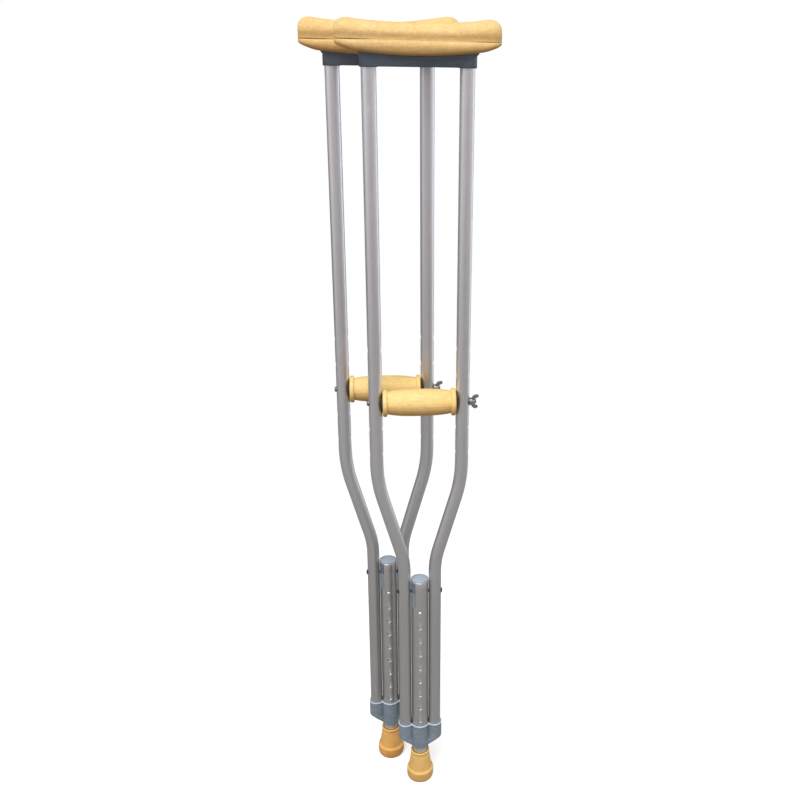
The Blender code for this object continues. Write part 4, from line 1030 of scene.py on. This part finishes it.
def make_hand_grip():
    """Barrel-shaped moulded grip between two rounded flanges, with a fine mould seam front and back."""
    barrel = [(grip_radius(x), x) for x in (-0.0432 + 0.0864 * k / 56 for k in range(57))]
    flange = [(0.01605, 0.0444, 0.0007), (0.0167, 0.04480, 0.0008), (0.0190, 0.04535, 0.0010), (0.01970, 0.0466, 0.0010),
              (0.01970, 0.0490, 0.0009), (0.0190, 0.0506, 0.0008), (0.0178, GRIP_HALF + 0.0010, 0.0006), (0.0156, GRIP_HALF + 0.0010, 0.0004),
              (0.0151, GRIP_HALF + 0.0005, 0.0003), (0.0151, GRIP_HALF - 0.0004, 0.0003), (0.0133, GRIP_HALF - 0.0005, 0.0003),
              (0.0129, GRIP_HALF, 0.0003)]
    half = flange + [(GRIP_BORE_R + 0.0003, GRIP_HALF, 0.0002), (GRIP_BORE_R, GRIP_HALF - 0.0003)]
    left = [(p[0], -p[1], *p[2:]) for p in reversed(half)]
    profile = soft_line(left + barrel + half, 4)

    def shape(angle, r, h):
        if r < 0.0125:
            return r
        # local angle 0 is down, a quarter turn is +Y
        seam = min(abs((angle - q + math.pi) % TAU - math.pi) for q in (0.5 * math.pi, 1.5 * math.pi))
        ridge = 0.00016 * math.exp(-(seam * r / 0.00050) ** 2) if r > 0.0155 and abs(h) < 0.0495 else 0.0
        a = Vector((math.cos(angle), math.sin(angle), h * 60))
        soft = 0.00016 * noise.noise(a * 1.7) + 0.00006 * noise.noise(Vector((a.x * 16, a.y * 16, h * 90)))
        ribs = 0.0
        return r + ridge + (soft if r > 0.0155 else 0) + ribs

    return tidy(Shape().lathe(profile, 128, Matrix.Translation((0, 0, GRIP_Z)) @ ALONG_X, shape).mesh("grip"), 50, 0.08, 4.0)


def make_grip_core():
    reach = GRIP_HALF - 0.0045
    profile = soft_line([(0.0039, -reach, 0.0004), (CORE_R, -reach, 0.0005), (CORE_R, reach, 0.0005), (0.0039, reach, 0.0004)], 3, True)
    return tidy(Shape().lathe(profile, 48, Matrix.Translation((0, 0, GRIP_Z)) @ ALONG_X).mesh("grip_core"))


def make_grip_saddle(side):
    """End piece with a castellated rim, hollowed to the curve of the upright."""
    face = GRIP_HALF + GAP
    rim = SADDLE_R - 0.0007
    profile = [(0.0039, face - 0.0044), (CORE_R - 0.0003, face - 0.0044), (CORE_R, face - 0.0041), (CORE_R, face),
               (rim - 0.0003, face), (rim, face + 0.0003), (rim, face + 0.0011), (rim - 0.0003, face + 0.0014),
               (0.0108, face + 0.0016), (0.0098, face + 0.0030), (0.0039, face + 0.0030)]
    place = Matrix.Translation((0, 0, GRIP_Z)) @ Matrix.Scale(side, 4, (1, 0, 0)) @ ALONG_X
    mesh = Shape().lathe(profile, 96, place).mesh("saddle")
    notches = []
    for k in range(14):
        a = TAU * (k + 0.5) / 14
        turn = Matrix.Translation((0, 0, GRIP_Z)) @ Matrix.Scale(side, 4, (1, 0, 0)) @ ALONG_X @ Matrix.Rotation(a, 4, "Z")
        b = Shape().box((0.0114, -0.00225, face - 0.0010), (0.0180, 0.00225, face + 0.0060))
        b.points = [tuple(turn @ Vector(p)) for p in b.points]
        notches.append(b)
    mesh = cut(mesh, [joined(notches)])
    tube = Shape().rod(TUBE_R + GAP + 0.0001, -0.03, 0.03, Matrix(), (side * UPPER_X, 0, GRIP_Z), 72)
    return tidy(cut(mesh, [tube]), 30)


def make_grip_bolt():
    seat = -(UPPER_X + TUBE_R + GAP)
    head = soft_line([(0, seat - 0.0026), (0.0018, seat - 0.0025, 0.001), (0.0032, seat - 0.0018, 0.0010),
                      (0.0041, seat - 0.0007, 0.0005), (0.0042, seat, 0.0001), (BOLT_R, seat)], 4)
    line = split_long([(BOLT_R, seat + 0.0002), (BOLT_R, 0.0560)], 0.02)
    threads = []
    x = 0.0566
    while x < 0.0795:
        threads += [(BOLT_R, x), (BOLT_R, x + 0.0002), (BOLT_R - 0.00042, x + 0.00055), (BOLT_R - 0.00042, x + 0.00065)]
        x += 0.0010
    profile = head + line + threads + [(BOLT_R, 0.0798), (BOLT_R - 0.0006, 0.0806), (0, 0.0806)]
    place = Matrix.Translation((0, 0, GRIP_Z)) @ ALONG_X
    mesh = Shape().lathe(profile, 36, place).mesh("bolt")
    slot = Shape().box((seat - 0.0050, -0.0060, GRIP_Z - 0.0005), (seat - 0.0017, 0.0060, GRIP_Z + 0.0005))
    return tidy(cut(mesh, [slot]), 32)


def make_grip_washer():
    profile = soft_line([(BOLT_R + 0.0003, WASHER_SEAT, 0.0001), (0.0060, WASHER_SEAT, 0.0002), (0.0060, WASHER_SEAT + 0.0010, 0.0004),
                         (BOLT_R + 0.0003, WASHER_SEAT + 0.0010, 0.0001)], 3, True)
    return tidy(Shape().lathe(profile, 48, Matrix.Translation((0, 0, GRIP_Z)) @ ALONG_X).mesh("washer"))


def ball(s, centre, size, rings=12, segments=20):
    layers = []
    for i in range(1, rings):
        t = math.pi * i / rings - math.pi / 2
        layers.append(s.ring([(centre[0] + size[0] * math.cos(t) * math.cos(a), centre[1] + size[1] * math.cos(t) * math.sin(a),
                               centre[2] + size[2] * math.sin(t)) for a in (TAU * k / segments for k in range(segments))]))
    s.loft(layers)
    s.fan(layers[0], (centre[0], centre[1], centre[2] - size[2]))
    s.fan(layers[-1], (centre[0], centre[1], centre[2] + size[2]))


def make_wing_nut():
    """Cast hub with two teardrop wings, thin at the root and thick at the end."""
    s = Shape()
    hub = soft_line([(0, NUT_SEAT), (0.0052, NUT_SEAT, 0.0003), (0.0053, NUT_SEAT + 0.0012, 0.0006), (0.0046, NUT_SEAT + 0.0061, 0.0007),
                     (0.0042, NUT_SEAT + 0.0066, 0.0003), (0, NUT_SEAT + 0.0066)], 4)
    s.lathe(hub, 40, ALONG_X)
    for flip in (1, -1):
        for k in range(13):
            t = k / 12
            x = NUT_SEAT + 0.0031 + 0.0048 * t ** 1.15
            r = 0.0040 + 0.0066 * math.sin(t * math.pi / 2) ** 1.1
            wide = 0.0026 + 0.0011 * t
            ball(s, (x, 0, flip * r), (wide, 0.00160 - 0.00010 * t, wide))
    mesh = s.mesh("wing")
    mesh = evaluated(mesh, [("REMESH", {"mode": "VOXEL", "voxel_size": 0.00034, "adaptivity": 0.0}),
                            ("SMOOTH", {"factor": 0.5, "iterations": 4})])
    co = points_of(mesh)
    co[:, 0] = np.maximum(co[:, 0], NUT_SEAT)
    mesh.vertices.foreach_set("co", co.ravel())
    mesh.update()
    mesh = cut(mesh, [Shape().lathe([(0, 0.06), (BOLT_R + 0.0009, 0.06), (BOLT_R + 0.0009, NUT_SEAT), (BOLT_R + 0.00032, NUT_SEAT + 0.0006),
                                     (BOLT_R + 0.00032, NUT_SEAT + 0.0066), (BOLT_R + 0.0009, NUT_SEAT + 0.0076), (BOLT_R + 0.0009, 0.10), (0, 0.10)],
                                    36, ALONG_X)])
    mesh.transform(Matrix.Translation((0, 0, GRIP_Z)) @ Matrix.Rotation(NUT_ANGLE, 4, "X"))
    return tidy(mesh, 40, 0.10, 3.0)


# ---------------------------------------------------------------- put together
def placed(tag, name, mesh, body, look):
    obj = bpy.data.objects.new(f"{tag}_{name}_fine", mesh if tag == "a" else mesh.copy())
    bpy.context.scene.collection.objects.link(obj)
    obj.data.materials.clear()
    obj.data.materials.append(MATERIALS[look])
    obj.matrix_world = PLACES[tag]
    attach(obj, body)
    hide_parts(f"{tag}_{name}")
    if name == "button_spring":
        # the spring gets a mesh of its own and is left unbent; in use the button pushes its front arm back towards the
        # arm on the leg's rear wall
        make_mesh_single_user(obj)
    return obj


PIECES = [
    ("underarm_pad", lambda: (make_pad((-0.0012, -0.0003, -0.0003)), make_pad((0.0, 0.0, 0.0030))), "crutch_{}", "pad", "pad_rubber"),
    ("top_bracket", make_top_bracket, "crutch_{}", "bracket", "bracket_plastic"),
    ("upright_left", lambda: make_upright(-1), "crutch_{}", "tube", "anodised_tube"),
    ("upright_right", lambda: make_upright(1), "crutch_{}", "tube", "anodised_tube"),
    ("top_rivet_left", lambda: make_top_rivet(-1), "crutch_{}", "zinc", "zinc_steel"),
    ("top_rivet_right", lambda: make_top_rivet(1), "crutch_{}", "zinc", "zinc_steel"),
    ("foot_bracket", make_foot_bracket, "crutch_{}", "foot", "bracket_plastic"),
    ("foot_rivet_left", lambda: make_foot_rivet(-1), "crutch_{}", "zinc", "zinc_steel"),
    ("foot_rivet_right", lambda: make_foot_rivet(1), "crutch_{}", "zinc", "zinc_steel"),
    ("centre_tube", make_centre_tube, "crutch_{}", "centre", "anodised_tube"),
    ("centre_tube_cap", make_cap, "crutch_{}", "cap", "cap_plastic"),
    ("size_label", make_label, "crutch_{}", "label", "blue_label"),
    ("cross_rivet", make_cross_rivet, "crutch_{}", "dark", "dark_steel"),
    ("leg_tube", make_leg_tube, "leg_{}", "leg", "anodised_tube"),
    ("leg_bushing", make_leg_bushing, "leg_{}", "black", "black_plastic"),
    ("button_spring", make_button_spring, "leg_{}", "spring", "spring_steel"),
    ("rubber_tip", make_tip, "leg_{}", "tip", "tip_rubber"),
    ("tip_washer", make_tip_washer, "leg_{}", "zinc", "zinc_steel"),
    ("snap_button", make_snap_button, "button_{}", "spring", "spring_steel"),
    ("hand_grip", make_hand_grip, "grip_{}", "grip", "grip_rubber"),
    ("grip_core", make_grip_core, "grip_{}", "black", "black_plastic"),
    ("grip_saddle_left", lambda: make_grip_saddle(-1), "grip_{}", "black", "black_plastic"),
    ("grip_saddle_right", lambda: make_grip_saddle(1), "grip_{}", "black", "black_plastic"),
    ("grip_bolt", make_grip_bolt, "grip_{}", "bolt", "zinc_steel"),
    ("grip_washer", make_grip_washer, "bolt_washer_{}", "zinc", "zinc_steel"),
    ("wing_nut", make_wing_nut, "wing_nut_{}", "wing", "zinc_steel"),
]

for piece_name, maker, body_name, look_name, slot_name in PIECES:
    made_mesh = maker()
    for tag in ("a", "b"):
        look = f"tip_{tag}" if look_name == "tip" else look_name
        # the two pads have settled a little differently in use
        own_mesh = made_mesh[tag == "b"] if isinstance(made_mesh, tuple) else made_mesh
        placed(tag, piece_name, own_mesh, body_name.format(tag), look)


# ---------------------------------------------------------------- floor, light and camera
def make_floor():
    """A pale round floor that fades into the white surround. It follows the lower of the two legs down, and is clear from below."""
    s = Shape()
    rings = [s.ring([(r * math.cos(TAU * k / 64), r * math.sin(TAU * k / 64), 0) for k in range(64)]) for r in (0.2, 0.6, 1.2, 2.4)]
    s.fan(rings[0], (0, 0, 0))
    s.loft(rings)
    obj = bpy.data.objects.new("studio_floor", s.mesh("studio_floor"))
    bpy.context.scene.collection.objects.link(obj)
    for face in obj.data.polygons:
        if face.normal.z < 0:
            face.flip()
    n = Net("studio_floor")
    path = n.add("LightPath")
    pale = n.mix(n.noise(9.0, 3.0), (0.88, 0.88, 0.88), (0.92, 0.92, 0.92))
    lit_part = n.add("BsdfDiffuse", {"Color": pale, "Normal": n.bump(n.noise(420.0, 3.0), 0.0004, 0.15)})
    lift = n.add("Emission", {"Color": (1, 1, 1, 1), "Strength": 0.35})
    seen = n.add("AddShader", {0: lit_part.outputs[0], 1: lift.outputs[0]})
    bounce = n.add("BsdfDiffuse", {"Color": (0.36, 0.355, 0.35, 1)})
    lit = n.add("MixShader", {0: path.outputs["Is Camera Ray"], 1: bounce.outputs[0], 2: seen.outputs[0]})
    distance = n.add("VectorMath", {0: n.at}, operation="LENGTH").outputs["Value"]
    fade = n.math("MULTIPLY", n.span(distance, 0.30, 1.25), path.outputs["Is Camera Ray"])
    fade = n.math("MAXIMUM", fade, n.add("NewGeometry").outputs["Backfacing"])
    clear = n.add("BsdfTransparent")
    both = n.add("MixShader", {0: fade, 1: lit.outputs[0], 2: clear.outputs[0]})
    n.tree.links.new(both.outputs[0], n.add("OutputMaterial").inputs[0])
    obj.data.materials.append(n.material)
    lower = obj.driver_add("location", 2).driver
    lower.type = "MIN"
    for tag in ("a", "b"):
        var = lower.variables.new()
        var.name = tag
        var.type = "TRANSFORMS"
        var.targets[0].id = frame["bodies"]["leg_" + tag]
        var.targets[0].transform_type = "LOC_Z"
        var.targets[0].transform_space = "WORLD_SPACE"
    return obj


def soft_box(name, at, aim, size, watts, colour, mirrored=True):
    data = bpy.data.lights.new(name, "AREA")
    data.shape = "RECTANGLE"
    data.size, data.size_y = size
    data.energy = watts
    data.color = colour
    obj = bpy.data.objects.new(name, data)
    bpy.context.scene.collection.objects.link(obj)
    obj.location = at
    obj.rotation_mode = "QUATERNION"
    obj.rotation_quaternion = (Vector(aim) - Vector(at)).to_track_quat("-Z", "Y")
    obj.visible_glossy = mirrored
    return obj


def make_world():
    world = bpy.data.worlds.new("studio")
    world.use_nodes = True
    bpy.context.scene.world = world
    tree = world.node_tree
    tree.nodes.clear()

    def add(kind, inputs=None, **settings):
        node = tree.nodes.new("ShaderNode" + kind)
        for key, value in settings.items():
            setattr(node, key, value)
        for key, value in (inputs or {}).items():
            if isinstance(value, bpy.types.NodeSocket):
                tree.links.new(value, node.inputs[key])
            else:
                node.inputs[key].default_value = value
        return node

    direction = add("TexCoord").outputs["Generated"]
    x, y, z = add("SeparateXYZ", {0: direction}).outputs
    ramp = add("ValToRGB", {"Fac": add("MapRange", {"Value": z, "From Min": -1.0, "From Max": 1.0}, clamp=True).outputs[0]})
    stops = ramp.color_ramp.elements
    stops[0].position, stops[0].color = 0.0, (0.14, 0.14, 0.14, 1)
    stops[1].position, stops[1].color = 1.0, (0.80, 0.80, 0.82, 1)
    for place, value in ((0.36, (0.39, 0.365, 0.36, 1)), (0.47, (0.60, 0.57, 0.57, 1)), (0.56, (0.76, 0.73, 0.74, 1))):
        stop = stops.new(place)
        stop.color = value
    # dimmer straight ahead and behind, a little brighter and cooler to the left
    behind = add("MapRange", {"Value": y, "From Min": -0.10, "From Max": 0.40, "To Min": 1.12, "To Max": 0.25}, clamp=True).outputs[0]
    ahead = add("MapRange", {"Value": y, "From Min": -0.95, "From Max": -0.35, "To Min": 0.66, "To Max": 1.12}, clamp=True).outputs[0]
    depth = add("Math", {0: behind, 1: ahead}, operation="MINIMUM").outputs[0]
    left = add("MapRange", {"Value": x, "From Min": -0.15, "From Max": -0.75, "To Min": 0.0, "To Max": 1.0}, clamp=True).outputs[0]
    sided = add("MixRGB", {"Fac": left, "Color1": (1.0, 1.0, 1.0, 1), "Color2": (1.16, 1.20, 1.25, 1)}).outputs[0]
    toned = add("MixRGB", {"Fac": 1.0, "Color1": ramp.outputs[0], "Color2": sided}, blend_type="MULTIPLY").outputs[0]
    lit = add("Background", {"Color": toned, "Strength": depth})
    seen = add("Background", {"Color": (1, 1, 1, 1), "Strength": 1.0})
    both = add("MixShader", {0: add("LightPath").outputs["Is Camera Ray"], 1: lit.outputs[0], 2: seen.outputs[0]})
    tree.links.new(both.outputs[0], add("OutputWorld").inputs[0])


def make_camera():
    """The view from pad height, 1.2 m in front of the pair, with the lens shifted a little sideways."""
    turn = (Matrix.Rotation(-0.1006, 3, "Z") @ Matrix.Rotation(-0.3672, 3, "X") @ Matrix.Rotation(-0.0163, 3, "Y"))
    right, forward, up = turn.col[0], turn.col[1], turn.col[2]
    data = bpy.data.cameras.new("camera")
    data.sensor_width = 36.0
    data.lens = 900.0 * 36.0 / 800.0
    data.shift_x = -63.8 / 800.0
    data.clip_start, data.clip_end = 0.05, 50.0
    obj = bpy.data.objects.new("camera", data)
    bpy.context.scene.collection.objects.link(obj)
    pose = Matrix((right, up, -forward)).transposed().to_4x4()
    pose.translation = (-0.05614, -1.18123, 1.12481)
    obj.matrix_world = pose
    bpy.context.scene.camera = obj


make_floor()
make_world()
make_camera()
soft_box("key_top", (-0.60, -1.90, 3.75), (0.0, 0.0, 0.65), (2.4, 1.8), 98.0, (1.0, 0.985, 0.96))
soft_box("front_fill", (-0.9, -2.6, 1.30), (0.0, 0.0, 0.60), (3.0, 2.0), 6.0, (1.0, 0.97, 0.97), False)
soft_box("cool_side", (1.35, 0.62, 0.85), (0.02, 0.03, 0.72), (0.75, 1.9), 6.0, (0.78, 0.89, 1.0))
soft_box("back_left", (-1.5, 0.9, 1.6), (0.0, 0.0, 0.7), (0.6, 1.6), 1.2, (1.0, 1.0, 1.0))

scene = bpy.context.scene
scene.view_settings.view_transform = "Standard"
scene.view_settings.look = "None"
scene.view_settings.exposure = 0.0
scene.view_settings.gamma = 1.0
